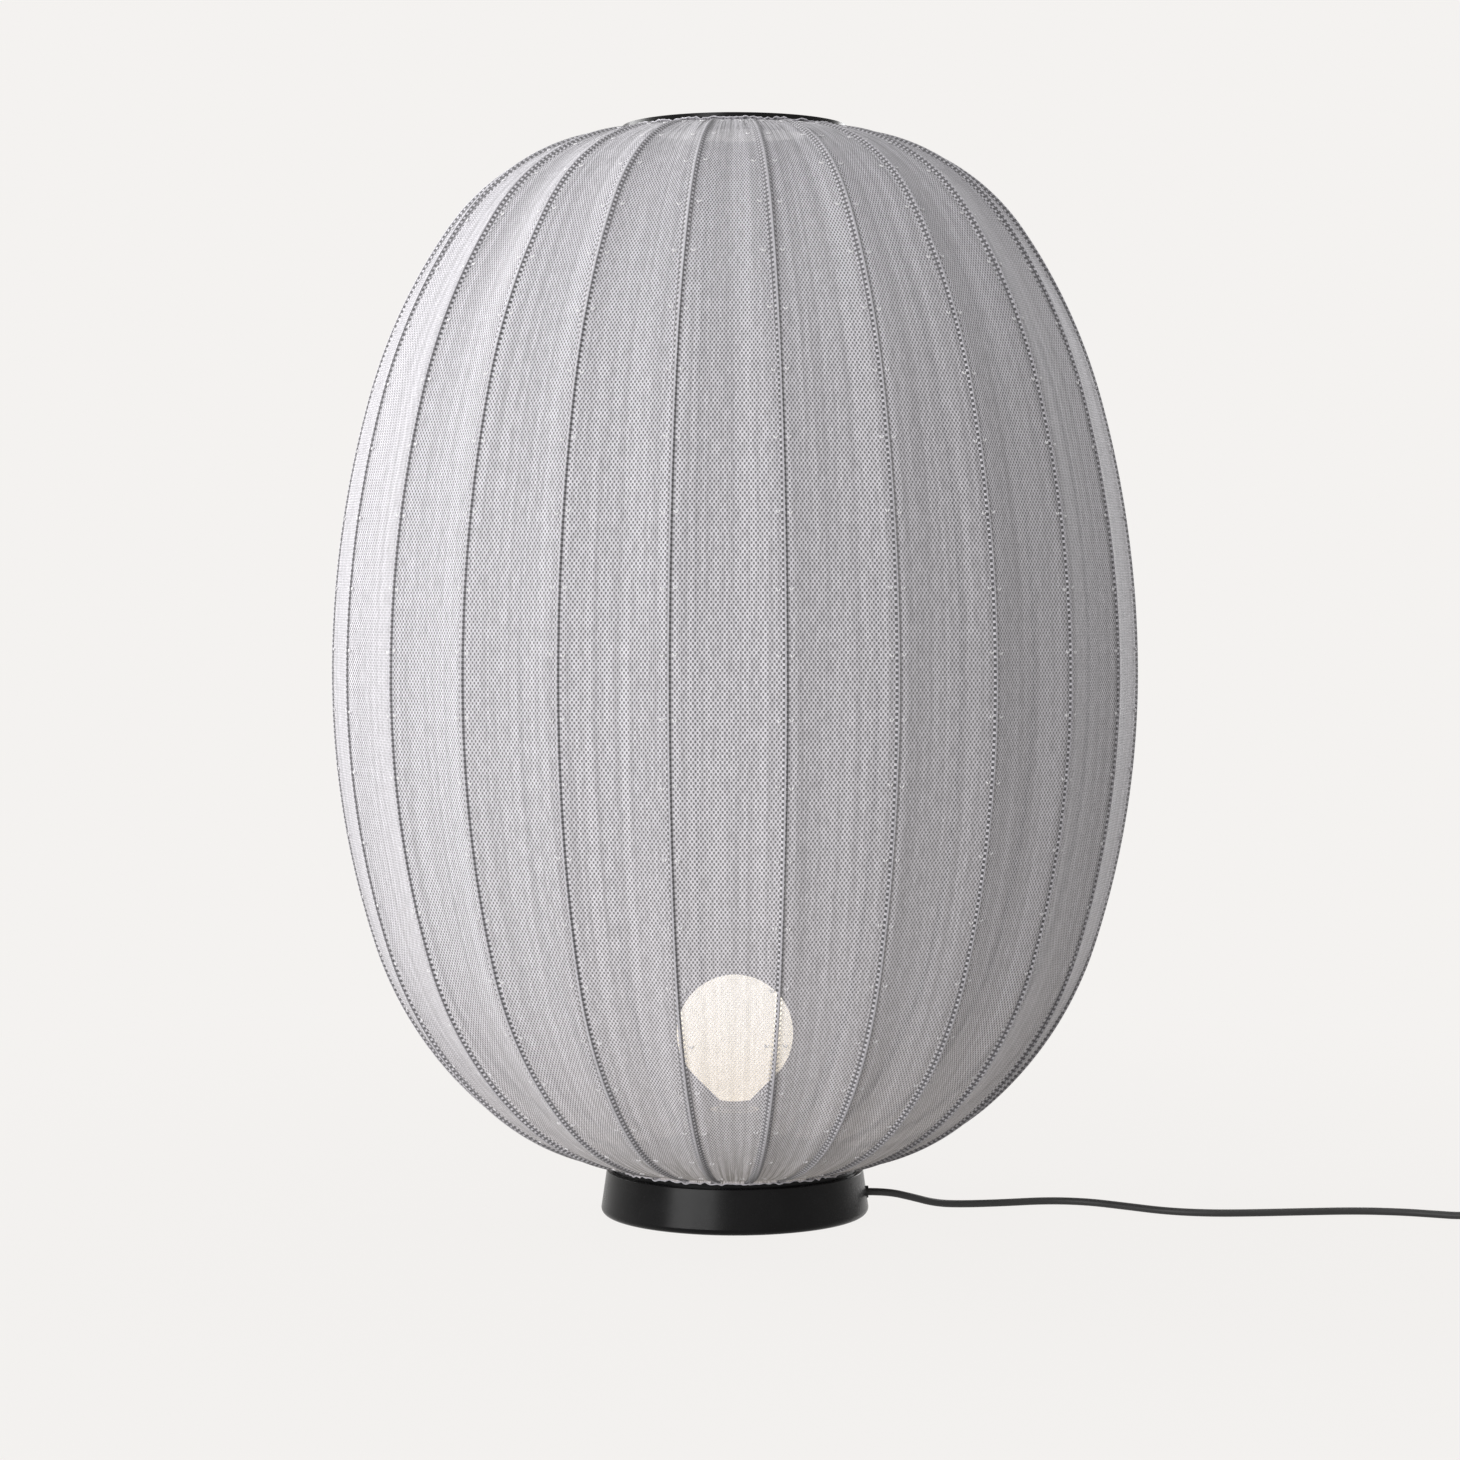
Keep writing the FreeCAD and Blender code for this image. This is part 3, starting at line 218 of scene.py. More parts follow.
def makeBoot(name, line):
    # line starts at the housing
    b = bootSet
    steps = np.linalg.norm(np.diff(line, axis=0), axis=1)
    along = np.concatenate(([0], np.cumsum(steps)))
    places = np.linspace(0, b["length"], b["rings"])
    centres = np.stack([np.interp(places, along, line[:, axis]) for axis in range(3)], 1)
    headings = np.gradient(centres, axis=0)
    headings /= np.linalg.norm(headings, axis=1)[:, None]
    share = places / b["length"]
    radius = b["atHousing"] + (b["atTip"] - b["atHousing"]) * share
    ribbed = smoothStep(b["groovesFrom"], b["fadeIn"], share) * (1 - smoothStep(*b["fadeOut"], share))
    wave = np.cos(tau * b["grooves"] * (share - b["groovesFrom"]) / b["groovesSpan"])
    radius -= b["grooveDepth"] * ribbed * (0.5 - 0.5 * wave)
    radius[-1] = cordSet["diameter"] / 2
    sideways = np.cross(headings, (0, 0, 1))
    sideways /= np.linalg.norm(sideways, axis=1)[:, None]
    upwards = np.cross(sideways, headings)
    turn = np.arange(b["sides"]) * tau / b["sides"]
    rim = sideways[:, None] * np.cos(turn)[None, :, None] + upwards[:, None] * np.sin(turn)[None, :, None]
    points = centres[:, None] + rim * radius[:, None, None]
    return addMesh(name, points.reshape(-1, 3), gridFaces(b["rings"], b["sides"]))


lampLine = routeLine(lampCord)
plugLine = routeLine(plugCord)
switchBootIn = makeBoot("switch_boot_in", lampLine[::-1])
switchBootOut = makeBoot("switch_boot_out", plugLine)
plugBoot = makeBoot("plug_boot", plugLine[::-1])


# Strap that ties the coil, on the side away from the loose ends

tieSet = {
    "inner": 0.0211, "outer": 0.0478,       # from the coil's middle, inside the strap
    "low": 0.0012, "high": 0.0142,
    "round": 0.0050,
    "thickness": 0.0010,
    "width": 0.0095,
    "outerShare": 0.92,         # of the width, at the strap's outer face
    "cornerSteps": 7,
}


def makeTie():
    t = tieSet
    inner = t["inner"] + t["round"]
    outer = t["outer"] - t["round"]
    low = t["low"] + t["round"]
    high = t["high"] - t["round"]
    corners = [(outer, low, -90), (outer, high, 0), (inner, high, 90), (inner, low, 180)]
    line = []
    for away, height, start in corners:
        for step in range(t["cornerSteps"]):
            turn = math.radians(start + 90 * step / (t["cornerSteps"] - 1))
            line.append((away, height, math.cos(turn), math.sin(turn)))
    middle = coilSet["middle"]
    section = [(0, -1), (1, -t["outerShare"]), (1, t["outerShare"]), (0, 1)]
    points = []
    for away, height, normalOut, normalUp in line:
        for lift, side in section:
            reach = t["round"] + lift * t["thickness"]
            points.append((middle[0] - (away + normalOut * reach), middle[1] + side * t["width"] / 2,
                           height + normalUp * reach))
    return addMesh("coil_tie", points, gridFaces(len(line), len(section), rowsClosed=True))


coilTie = makeTie()
print("boots and tie made")


# Knitted cover, drawn in between the ribs and gathered at both rings

coverSet = {
    "ribs": 24,
    "equator": 0.4382,          # height of the widest line
    "radius": 0.3252,           # there, over the ribs
    "upperArcs": [(0.837, 15.35), (0.453, 34.5), (0.182, None)],     # radius, and degrees where it ends
    "lowerArcs": [(0.705, 17.66), (0.298, 47.7), (0.2085, None)],
    "topRadius": 0.0916,
    "bottomRadius": 0.1003,
    "inset": 0.0006,
    "sag": 0.0030,
    "sagSpread": 0.20,          # how much the panels differ
    "leanSpread": 0.25,         # and how far their deepest line stands off the middle
    "deepest": 1.4,             # how much deeper, towards the rings
    "deepestAt": 0.14,
    "deepestReach": 0.09,
    "channelHalf": 0.0022,
    "channelRise": 0.0006,
    "channelLoose": 0.65,       # how much wider a channel gets towards the rings
    "looseFull": 0.16,
    "looseReach": 0.33,
    "creaseAt": 0.0030,
    "creaseWidth": 0.0009,
    "creaseDepth": 0.0009,
    "rows": 172,
    "channelColumns": [0.0008, 0.0017, 0.0029, 0.0041],
    "middleColumns": 12,
    "walesAPanel": 26,
    "coursePitch": 0.0043,
    "pleats": 4,
    "pleatDepth": 0.0005,
    "pleatReach": 0.055,
    "pleatFade": 0.15,          # share of a panel beside each rib where the pleats run out
    "hemRows": 4,
    "hemLength": 0.0024,
    "hemLift": 0.0004,          # how much further the hem reaches at the ribs
    "hemRagged": 0.0008,
    "hemWaves": (14, 110, 12),  # fewest and most round the ring, and how many are added up
    "waveSizes": (0.4, 1.0),
    "seed": 7,
}


def halfOutline(arcs, endRadius):
    found = []
    centreR, centreZ, first = coverSet["radius"] - arcs[0][0], 0.0, 0.0
    for place, (radius, turn) in enumerate(arcs):
        last = math.acos((endRadius - centreR) / radius) if turn is None else math.radians(turn)
        found.append((centreR, centreZ, radius, first, last))
        if turn is not None:
            shrink = radius - arcs[place + 1][0]
            centreR += shrink * math.cos(last)
            centreZ += shrink * math.sin(last)
            first = last
    return found


def outlineRows(count):
    # radius, height, outward normal and length up the cover, in even steps from the lower ring to the upper
    lower = halfOutline(coverSet["lowerArcs"], coverSet["bottomRadius"])
    upper = halfOutline(coverSet["upperArcs"], coverSet["topRadius"])
    pieces = [(arc, -1) for arc in reversed(lower)] + [(arc, 1) for arc in upper]
    lengths = [arc[2] * (arc[4] - arc[3]) for arc, _ in pieces]
    ends = np.concatenate(([0], np.cumsum(lengths)))
    rows = []
    for along in np.linspace(0, ends[-1], count):
        which = min(int(np.searchsorted(ends, along, side="right")) - 1, len(pieces) - 1)
        (centreR, centreZ, radius, first, last), side = pieces[which]
        share = (along - ends[which]) / lengths[which]
        angle = first + (last - first) * (share if side > 0 else 1 - share)
        reach = radius - coverSet["inset"]
        rows.append((centreR + reach * math.cos(angle),
                     coverSet["equator"] + side * (centreZ + reach * math.sin(angle)),
                     math.cos(angle), side * math.sin(angle), along))
    return np.array(rows), ends[-1]


def raggedWave(draw, fewest, most, count):
    # an uneven wave round the ring, as counts, sizes and phases
    sizes = coverSet["waveSizes"]
    return [(draw.randint(fewest, most), draw.uniform(*sizes), draw.uniform(0, tau)) for _ in range(count)]


def waveAt(wave, angle):
    total = sum(size * np.cos(turns * angle + phase) for turns, size, phase in wave)
    return total / math.sqrt(len(wave))


draw = random.Random(coverSet["seed"])
halfStep = math.pi / coverSet["ribs"]
panels = range(coverSet["ribs"])
panelSag = [coverSet["sag"] * (1 + draw.uniform(-1, 1) * coverSet["sagSpread"]) for _ in panels]
panelLean = [draw.uniform(-coverSet["leanSpread"], coverSet["leanSpread"]) for _ in panels]
pleatPhase = [draw.uniform(0, tau) for _ in panels]
bottomWave = raggedWave(draw, *coverSet["hemWaves"])
topWave = raggedWave(draw, *coverSet["hemWaves"])
coverRows, coverLength = outlineRows(coverSet["rows"])


def endDistance(along):
    # to the nearer ring
    return min(along, coverLength - along)


def channelSpread(along):
    c = coverSet
    return 1 + c["channelLoose"] * float(1 - smoothStep(c["looseFull"], c["looseReach"], endDistance(along)))


def coverPoint(row, panel, share):
    # row is radius, height, normal and length; share runs from one rib to the next
    c = coverSet
    radius, height, normalR, normalZ, along = row
    halfWidth = radius * math.sin(halfStep)
    across = 2 * share - 1
    spread = channelSpread(along)
    fromRib = np.minimum(share, 1 - share) * 2 * halfWidth / spread
    toEnd = endDistance(along)
    pulled = c["deepest"] * math.exp(-((toEnd - c["deepestAt"]) / c["deepestReach"]) ** 2)
    slack = panelSag[panel] * radius / c["radius"] * (1 + pulled)
    depth = slack * (1 - across ** 2) * (1 + panelLean[panel] * across)
    rise = c["channelRise"] * np.cos(np.clip(fromRib / c["channelHalf"], 0, 1) * math.pi / 2) ** 2
    crease = c["creaseDepth"] * np.exp(-((fromRib - c["creaseAt"]) / c["creaseWidth"]) ** 2)
    gather = float(1 - smoothStep(0.0, c["pleatReach"], toEnd))
    pleat = c["pleatDepth"] * gather * np.sin(tau * c["pleats"] * share + pleatPhase[panel])
    pleat = pleat * smoothStep(0.0, c["pleatFade"], np.minimum(share, 1 - share))
    outward = rise * spread - crease * spread * (1 - gather) - depth * (1 - gather) + pleat
    middle = -math.pi / 2 + (2 * panel + 2) * halfStep      # the panel's own direction
    sideways = across * halfWidth
    chord = radius * math.cos(halfStep)
    rounded = np.sqrt(radius ** 2 - sideways ** 2)          # at the rings the knit lies on their round faces
    reach = chord + (rounded - chord) * gather + outward * normalR
    x = reach * math.cos(middle) - sideways * math.sin(middle)
    y = reach * math.sin(middle) + sideways * math.cos(middle)
    return x, y, height + outward * normalZ, fromRib


def panelShares(row):
    # where the columns of one panel stand: close together over the channels
    width = 2 * row[0] * math.sin(halfStep)
    near = np.array(coverSet["channelColumns"]) * channelSpread(row[4]) / width
    middle = np.linspace(near[-1], 1 - near[-1], coverSet["middleColumns"] + 1)[1:-1]
    return np.concatenate(([0], near, middle, 1 - near[::-1]))


def hemHeight(end, wave, reach, angle):
    # the hem turns along the ring's face: its height round the ring, at a share of its length, minus below
    c = coverSet
    lift = c["hemLift"] * np.cos(c["ribs"] * (angle + math.pi / 2 - halfStep))
    return end + reach * (c["hemLength"] + lift + c["hemRagged"] * waveAt(wave, angle))


def makeCover():
    c = coverSet
    aPanel = 2 * len(c["channelColumns"]) + c["middleColumns"]
    columns = c["ribs"] * aPanel
    points, wales, ribGaps, courses = [], [], [], []

    def addRow(row, wave=None, reach=0.0):
        shares = panelShares(row)
        ring, gaps = [], []
        for panel in panels:
            x, y, z, fromRib = coverPoint(row, panel, shares)
            if wave:
                z = hemHeight(row[1], wave, reach, np.arctan2(y, x))
            ring.append(np.stack([x, y, z], 1))
            gaps.append(fromRib)
        points.append(np.concatenate(ring))
        ribGaps.append(np.concatenate(gaps))
        wales.append(np.concatenate([panel + shares for panel in panels] + [[c["ribs"]]]))
        courses.append(row[4] + reach * c["hemLength"])

    def upright(row):
        return np.array([row[0], row[1], 1.0, 0.0, row[4]])

    hemShares = [step / c["hemRows"] for step in range(1, c["hemRows"] + 1)]
    for share in reversed(hemShares):
        addRow(upright(coverRows[0]), bottomWave, -share)
    for row in coverRows:
        addRow(row)
    for share in hemShares:
        addRow(upright(coverRows[-1]), topWave, share)

    rows = len(points)
    cover = addMesh("knit", np.concatenate(points), gridFaces(rows, columns))
    wale = np.array(wales)
    gap = np.array([np.concatenate((g, g[:1])) for g in ribGaps])
    course = np.array(courses)
    lowRow = np.repeat(np.arange(rows - 1), columns)
    column = np.tile(np.arange(columns), rows - 1)
    corner = [(lowRow, column), (lowRow, column + 1), (lowRow + 1, column + 1), (lowRow + 1, column)]

    def addMap(name, across, upwards):
        layer = cover.data.uv_layers.new(name=name)
        spots = np.stack([np.stack([across[r, k], upwards[r]], 1) for r, k in corner], 1)
        layer.uv.foreach_set("vector", spots.astype(np.float32).ravel())

    fromEnd = (course - course[0]) / (course[-1] - course[0])
    addMap("stitches", wale * c["walesAPanel"], course / c["coursePitch"])
    addMap("fromRib", gap * millimetres, course * millimetres)
    addMap("OFBake", wale / c["ribs"], fromEnd)
    print("knit has", len(cover.data.polygons), "faces,", aPanel, "columns a panel")
    return cover, points[0], points[-1]


knit, bottomLine, topLine = makeCover()


# Rolled edge of the knit along both rings

rollSet = {
    "radius": 0.00055,
    "uneven": 0.25,
    "waves": (80, 230, 7),      # fewest and most round the ring, and how many are added up
    "sides": 8,
}


def makeRoll(name, line):
    wave = raggedWave(draw, *rollSet["waves"])
    angle = np.arctan2(line[:, 1], line[:, 0])
    outward = np.stack([np.cos(angle), np.sin(angle), 0 * angle], 1)
    radius = rollSet["radius"] * (1 + rollSet["uneven"] * waveAt(wave, angle))
    turn = np.arange(rollSet["sides"]) * tau / rollSet["sides"]
    centre = line + outward * radius[:, None]
    rim = outward[:, None] * np.cos(turn)[None, :, None] + np.array([0, 0, 1.0]) * np.sin(turn)[None, :, None]
    points = centre[:, None] + rim * radius[:, None, None]
    return addMesh(name, points.reshape(-1, 3), gridFaces(len(line), rollSet["sides"], rowsClosed=True))


bottomHem = makeRoll("knit_hem_bottom", bottomLine)
topHem = makeRoll("knit_hem_top", topLine)


# Small knots where the channels are linked to the panels, in pairs beside each rib

knotSet = {
    # lengths up the cover, from the lower ring
    "rows": [0.0265, 0.0750, 0.1238, 0.1729, 0.2201, 0.2682, 0.3171, 0.3680, 0.4229, 0.4708, 0.5187,
             0.5667, 0.6224, 0.6769, 0.7282, 0.7776, 0.8260, 0.8717, 0.9182, 0.9645, 1.0100],
    "fromRib": 0.0048,
    "halfLength": 0.00165,
    "halfWidth": 0.00062,
    "apart": 0.6,               # of the half length, from the knot's middle to each of its two beads
    "spread": 35.0,             # degrees between a bead and upright
    "spreadJitter": 12.0,
    "jitter": 0.0012,
    "sideJitter": 0.3,          # share of the jitter that works sideways
    "lift": 0.0004,
    "sides": 6,
    "rings": 5,
}


def beadShape():
    rings = np.linspace(-1, 1, knotSet["rings"] + 2)[1:-1]
    turn = np.arange(knotSet["sides"]) * tau / knotSet["sides"]
    points = [(0, 0, -1)]
    for height in rings:
        wide = math.sqrt(1 - height * height)
        points += [(wide * math.cos(a), wide * math.sin(a), height) for a in turn]
    points.append((0, 0, 1))
    sides = knotSet["sides"]
    last = len(points) - 1
    faces = [(0, 1 + (k + 1) % sides, 1 + k) for k in range(sides)]
    for low, high, after, over in gridFaces(knotSet["rings"], sides):
        faces.append((low + 1, high + 1, after + 1, over + 1))
    top = last - sides
    faces += [(top + k, top + (k + 1) % sides, last) for k in range(sides)]
    return np.array(points), faces


def makeKnots():
    k = knotSet
    shape, shapeFaces = beadShape()
    points, faces = [], []
    for along in k["rows"]:
        row = np.array([np.interp(along, coverRows[:, 4], values) for values in coverRows.T])
        width = 2 * row[0] * math.sin(halfStep)
        fromRib = k["fromRib"] * channelSpread(row[4])
        for panel in panels:
            for side in (0, 1):
                moved = row.copy()
                shift = draw.uniform(-1, 1) * k["jitter"]
                moved[1] += shift * row[2]
                moved[0] -= shift * row[3]
                gap = (fromRib + draw.uniform(-k["sideJitter"], k["sideJitter"]) * k["jitter"]) / width
                x, y, z, _ = coverPoint(moved, panel, np.array([gap if side == 0 else 1 - gap]))
                centre = np.array([x[0], y[0], z[0]])
                angle = math.atan2(y[0], x[0])
                out = np.array([row[2] * math.cos(angle), row[2] * math.sin(angle), row[3]])
                beside = np.array([-math.sin(angle), math.cos(angle), 0])
                up = np.cross(out, beside)
                for lean in (-1, 1):
                    more = draw.uniform(-k["spreadJitter"], k["spreadJitter"])
                    tilt = math.radians(k["spread"] + more) * lean
                    axis = up * math.cos(tilt) + beside * math.sin(tilt)
                    cross = np.cross(axis, out)
                    spot = centre + out * k["lift"] + beside * lean * k["halfLength"] * k["apart"]
                    first = len(points) * len(shape)
                    bead = spot + shape[:, :1] * k["halfWidth"] * cross
                    bead = bead + shape[:, 1:2] * k["halfWidth"] * out
                    points.append(bead + shape[:, 2:] * k["halfLength"] * axis)
                    faces += [tuple(first + corner for corner in face) for face in shapeFaces]
    return addMesh("knit_knots", np.concatenate(points), faces)


knots = makeKnots()
print("hems and knots made,", len(knots.data.polygons), "knot faces")


# Shader maths: a socket that adds Math nodes, and a finish that adds any other node

class Wire:
    def __init__(self, finish, out):
        self.finish = finish
        self.out = out

    def maths(self, operation, *terms):
        return self.finish.node("Math", {"operation": operation}, dict(enumerate(terms)))

    def __add__(self, other):
        return self.maths("ADD", self, other)

    def __radd__(self, other):
        return self.maths("ADD", other, self)

    def __sub__(self, other):
        return self.maths("SUBTRACT", self, other)

    def __rsub__(self, other):
        return self.maths("SUBTRACT", other, self)

    def __mul__(self, other):
        return self.maths("MULTIPLY", self, other)

    def __rmul__(self, other):
        return self.maths("MULTIPLY", other, self)

    def __truediv__(self, other):
        return self.maths("DIVIDE", self, other)

    def __rtruediv__(self, other):
        return self.maths("DIVIDE", other, self)

    def cos(self):
        return self.maths("COSINE", self)

    def size(self):
        return self.maths("ABSOLUTE", self)

    def fraction(self):
        return self.maths("FRACT", self)

    def larger(self, other):
        return self.maths("MAXIMUM", self, other)

    def smaller(self, other):
        return self.maths("MINIMUM", self, other)

    def sibling(self, out):
        # another output of the same node
        return Wire(self.finish, self.out.node.outputs[out])


class Finish:
    def __init__(self, owner):
        self.owner = owner
        owner.use_nodes = True
        self.tree = owner.node_tree
        self.tree.nodes.clear()

    def node(self, kind, settings=None, sockets=None, out=0):
        made = self.tree.nodes.new("ShaderNode" + kind)
        for key, value in (settings or {}).items():
            setattr(made, key, value)
        for key, value in (sockets or {}).items():
            if isinstance(value, Wire):
                self.tree.links.new(value.out, made.inputs[key])
            else:
                made.inputs[key].default_value = value
        return Wire(self, made.outputs[out]) if made.outputs else None

    def noise(self, where, scale, detail=3.0, roughness=0.55):
        return self.node("TexNoise", None, {
            "Vector": where, "Scale": scale, "Detail": detail, "Roughness": roughness}, "Fac")

    def soft(self, value, low, high):
        return self.node("MapRange", {"interpolation_type": "SMOOTHSTEP"}, {
            "Value": value, "From Min": low, "From Max": high})

    def mix(self, share, first, second):
        return self.node("Mix", {"data_type": "RGBA"}, {0: share, 6: first, 7: second}, 2)

    def stretch(self, where, scale):
        return self.node("VectorMath", {"operation": "MULTIPLY"}, {0: where, 1: scale})

    def bump(self, height, distance):
        return self.node("Bump", None, {"Height": height, "Distance": distance, "Strength": 1.0})

    def place(self):
        return self.node("TexCoord", None, None, "Object")

    def surface(self, sockets):
        return self.end("OutputMaterial", self.node("BsdfPrincipled", None, sockets))

    def end(self, output, shader):
        self.node(output, None, {"Surface": shader})
        return self.owner


def newFinish(name):
    return Finish(bpy.data.materials.new(name))


def tone(*values):
    return (*values, 1.0)


# Knit finish: staggered stitches, mixed yarn, open holes, and a denser strip over each rib, with painted
# shade in the holes, the dots beside each rib, the folds and the strips near the rings, and a painted glow
# from the bulb

knitLook = {
    "pale": tone(0.785, 0.766, 0.815),
    "grey": tone(0.525, 0.511, 0.545),
    # painted shade, for the holes, the folds and the strip over each rib near the rings
    "paintedShade": tone(0.115, 0.112, 0.120),
    # painted shade in the dots beside each rib and in the ladders' holes
    "darkHoleShade": tone(0.155, 0.151, 0.160),
    # millimetres each side of a rib, at the widest line
    "channelEdge": (0.1, 0.9),
    "lineAt": 1.45,
    "lineHalf": 1.3,
    "stripEdge": (1.9, 2.7),    # where the rod and the doubled knit stop holding back the bulb's light
    # millimetres from each ring
    "looseReach": 330.0,        # where the channels widen
    "gatherReach": 120.0,       # where the stitches close up into fine folds
    "gatherFull": 10.0,
    # stretch over the stitches, detail and roughness of each noise
    "folds": ((0.8, 0.03, 0.0), 3.0, 0.7),
    "melange": ((1.3, 0.35, 0.0), 2.0, 0.6),
    "streaks": ((0.45, 0.008, 0.0), 3.0, 0.7),
    "laddering": ((0.5, 0.02, 0.0), 2.0, 0.5),
    # soft limits of each pattern
    "holeEdge": (-0.05, 0.52),
    "sideEdge": (0.49, 0.51),
    "lineEdge": (1.0, 0.35),
    "dotEdge": (-0.5, 0.35),
    "foldEdge": (0.49, 0.60),
    "yarnEdge": (0.36, 0.64),
    "pickedEdge": (0.945, 0.985),
    "ladderEdge": (0.40, 0.56),
    # how much each pattern counts in the colour, the painted shade included
    "melangeShare": 0.42,
    "streakShare": 0.58,
    "channelGrey": 0.6,
    "channelPaintedShade": 0.35,
    "holePaintedShade": 0.9,
    "ladderShade": 0.85,
    "foldPaintedShade": 0.95,
    # and in the relief
    "yarnHeight": 0.8,
    "melangeHeight": 0.3,
    "foldHeight": 0.8,
    "bump": 0.0005,
    # light that passes
    "holeAlpha": 0.22,          # how much of a hole is open
    "dotAlpha": 0.45,           # and of a dot beside a rib
    "yarnAlpha": 0.09,          # and of the yarn itself
    "gatherShuts": 0.6,         # how far the holes close where the knit is gathered
    "gatherThick": 0.7,         # how much less passes there
    "holeShade": 0.4,           # how much less the holes and strips glow
    "stripShade": 0.85,
    "glow": 0.0036,             # bulb light that soaks through the yarn, falling with distance squared
    "glowTone": tone(1.0, 0.90, 0.78),
    "bulb": (0.0, 0.0, 0.1473),
    "roughness": 0.85,
    "sheen": 0.25,
    "sheenRoughness": 0.5,
}


def knitFinish():
    look = knitLook
    f = newFinish("knit_yarn")
    stitches = f.node("UVMap", {"uv_map": "stitches"})
    wale = f.node("SeparateXYZ", None, {0: stitches})
    course = wale.sibling(1)
    fromRib = f.node("SeparateXYZ", None, {0: f.node("UVMap", {"uv_map": "fromRib"})})
    along = fromRib.sibling(1)

    def threads(name):
        stretch, detail, roughness = look[name]
        return f.noise(f.stretch(stitches, stretch), 1.0, detail, roughness)

    def limited(value, edge):
        return f.soft(value, *look[edge])

    # where things are
    hole = limited((wale * tau).cos() * (course * tau).cos(), "holeEdge")
    channel = 1 - limited(fromRib, "channelEdge")
    strip = 1 - limited(fromRib, "stripEdge")
    side = limited((wale / coverSet["walesAPanel"]).fraction(), "sideEdge")
    offLine = (fromRib - look["lineAt"]).size() / look["lineHalf"]
    stagger = ((course + side * 0.5) * tau).cos()
    dots = limited(offLine, "lineEdge") * limited(stagger, "dotEdge")
    toEnd = along.smaller(coverLength * millimetres - along)
    gather = f.soft(toEnd, look["gatherReach"], look["gatherFull"])
    loose = f.soft(toEnd, look["looseReach"], look["gatherReach"])
    fold = limited(threads("folds"), "foldEdge") * gather
    openHole = hole * (1 - channel) * (1 - gather * look["gatherShuts"])
    halfWale = wale * 2 + 0.5
    number = halfWale - halfWale.fraction()
    picked = f.node("TexWhiteNoise", {"noise_dimensions": "1D"}, {"W": number}, "Value")
    ladder = limited(picked, "pickedEdge") * limited(threads("laddering"), "ladderEdge") * openHole

    # colour with painted shade, and relief
    melange = threads("melange")
    mixed = melange * look["melangeShare"] + threads("streaks") * look["streakShare"]
    yarn = f.mix(limited(mixed, "yarnEdge"), look["grey"], look["pale"])
    # the strip over each rib greyer
    greyStrip = f.mix(channel * look["channelGrey"], yarn, look["grey"])
    # painted shade: the strip over each rib darker towards the rings
    gathered = f.mix(channel * gather * look["channelPaintedShade"], greyStrip, look["paintedShade"])
    # painted shade in the open holes
    shaded = f.mix(openHole * look["holePaintedShade"], gathered, look["paintedShade"])
    # painted shade: the holes along a few wales picked at random painted darker, as if deeper
    ladderShaded = f.mix(ladder * look["ladderShade"], shaded, look["darkHoleShade"])
    # painted shade in the fine folds near the rings
    foldShaded = f.mix(fold * look["foldPaintedShade"], ladderShaded, look["paintedShade"])
    # painted shade in the dots beside each rib, which also let some light through
    finished = f.mix(dots, foldShaded, look["darkHoleShade"])
    relief = (1 - hole) * look["yarnHeight"] + melange * look["melangeHeight"]
    height = relief - dots - fold * look["foldHeight"]

    # light that passes
    thin = (1 - channel) * (1 - strip * loose) * (1 - gather * look["gatherThick"])
    opened = (openHole * look["holeAlpha"]).larger(dots * look["dotAlpha"])
    alpha = 1 - opened.larger(look["yarnAlpha"]) * thin
    fromBulb = f.node("VectorMath", {"operation": "DISTANCE"}, {0: f.place(), 1: look["bulb"]}, "Value")
    shadow = (1 - hole * look["holeShade"]) * (1 - dots) * (1 - strip * look["stripShade"])
    glow = look["glow"] / (fromBulb * fromBulb) * shadow
    return f.surface({
        "Emission Color": f.mix(glow, tone(0, 0, 0), look["glowTone"]), "Emission Strength": 1.0,
        "Base Color": finished, "Roughness": look["roughness"], "Alpha": alpha,
        "Sheen Weight": look["sheen"], "Sheen Roughness": look["sheenRoughness"],
        "Normal": f.bump(height, look["bump"])})


hemLook = {"twist": 900.0, "twistDetail": 2.0, "patch": 160.0, "bump": 0.0004}


def hemFinish():
    look = hemLook
    f = newFinish("hem_yarn")
    where = f.place()
    return f.surface({
        "Base Color": f.mix(f.noise(where, look["patch"]), knitLook["grey"], knitLook["pale"]),
        "Roughness": knitLook["roughness"], "Sheen Weight": knitLook["sheen"],
        "Normal": f.bump(f.noise(where, look["twist"], look["twistDetail"]), look["bump"])})


knotLook = {
    "dark": tone(0.74, 0.73, 0.75),
    "light": tone(0.88, 0.87, 0.88),
    "roughness": 0.75,
    "patch": 420.0,
    "twist": 1500.0,
    "twistDetail": 2.0,
    "bump": 0.0003,
}


def knotFinish():
    look = knotLook
    f = newFinish("knot_yarn")
    where = f.place()
    return f.surface({
        "Base Color": f.mix(f.noise(where, look["patch"]), look["dark"], look["light"]),
        "Roughness": look["roughness"], "Sheen Weight": knitLook["sheen"],
        "Normal": f.bump(f.noise(where, look["twist"], look["twistDetail"]), look["bump"])})


# Finishes of the hard pieces

grainLook = {
    "cloud": (4.0, 0.6),        # detail and roughness of each noise
    "fine": (2.0, 0.5),
    "toneEdge": (0.3, 0.7),
    "fineShare": 0.6,           # how much the fine grain counts in the roughness, beside the patches
}


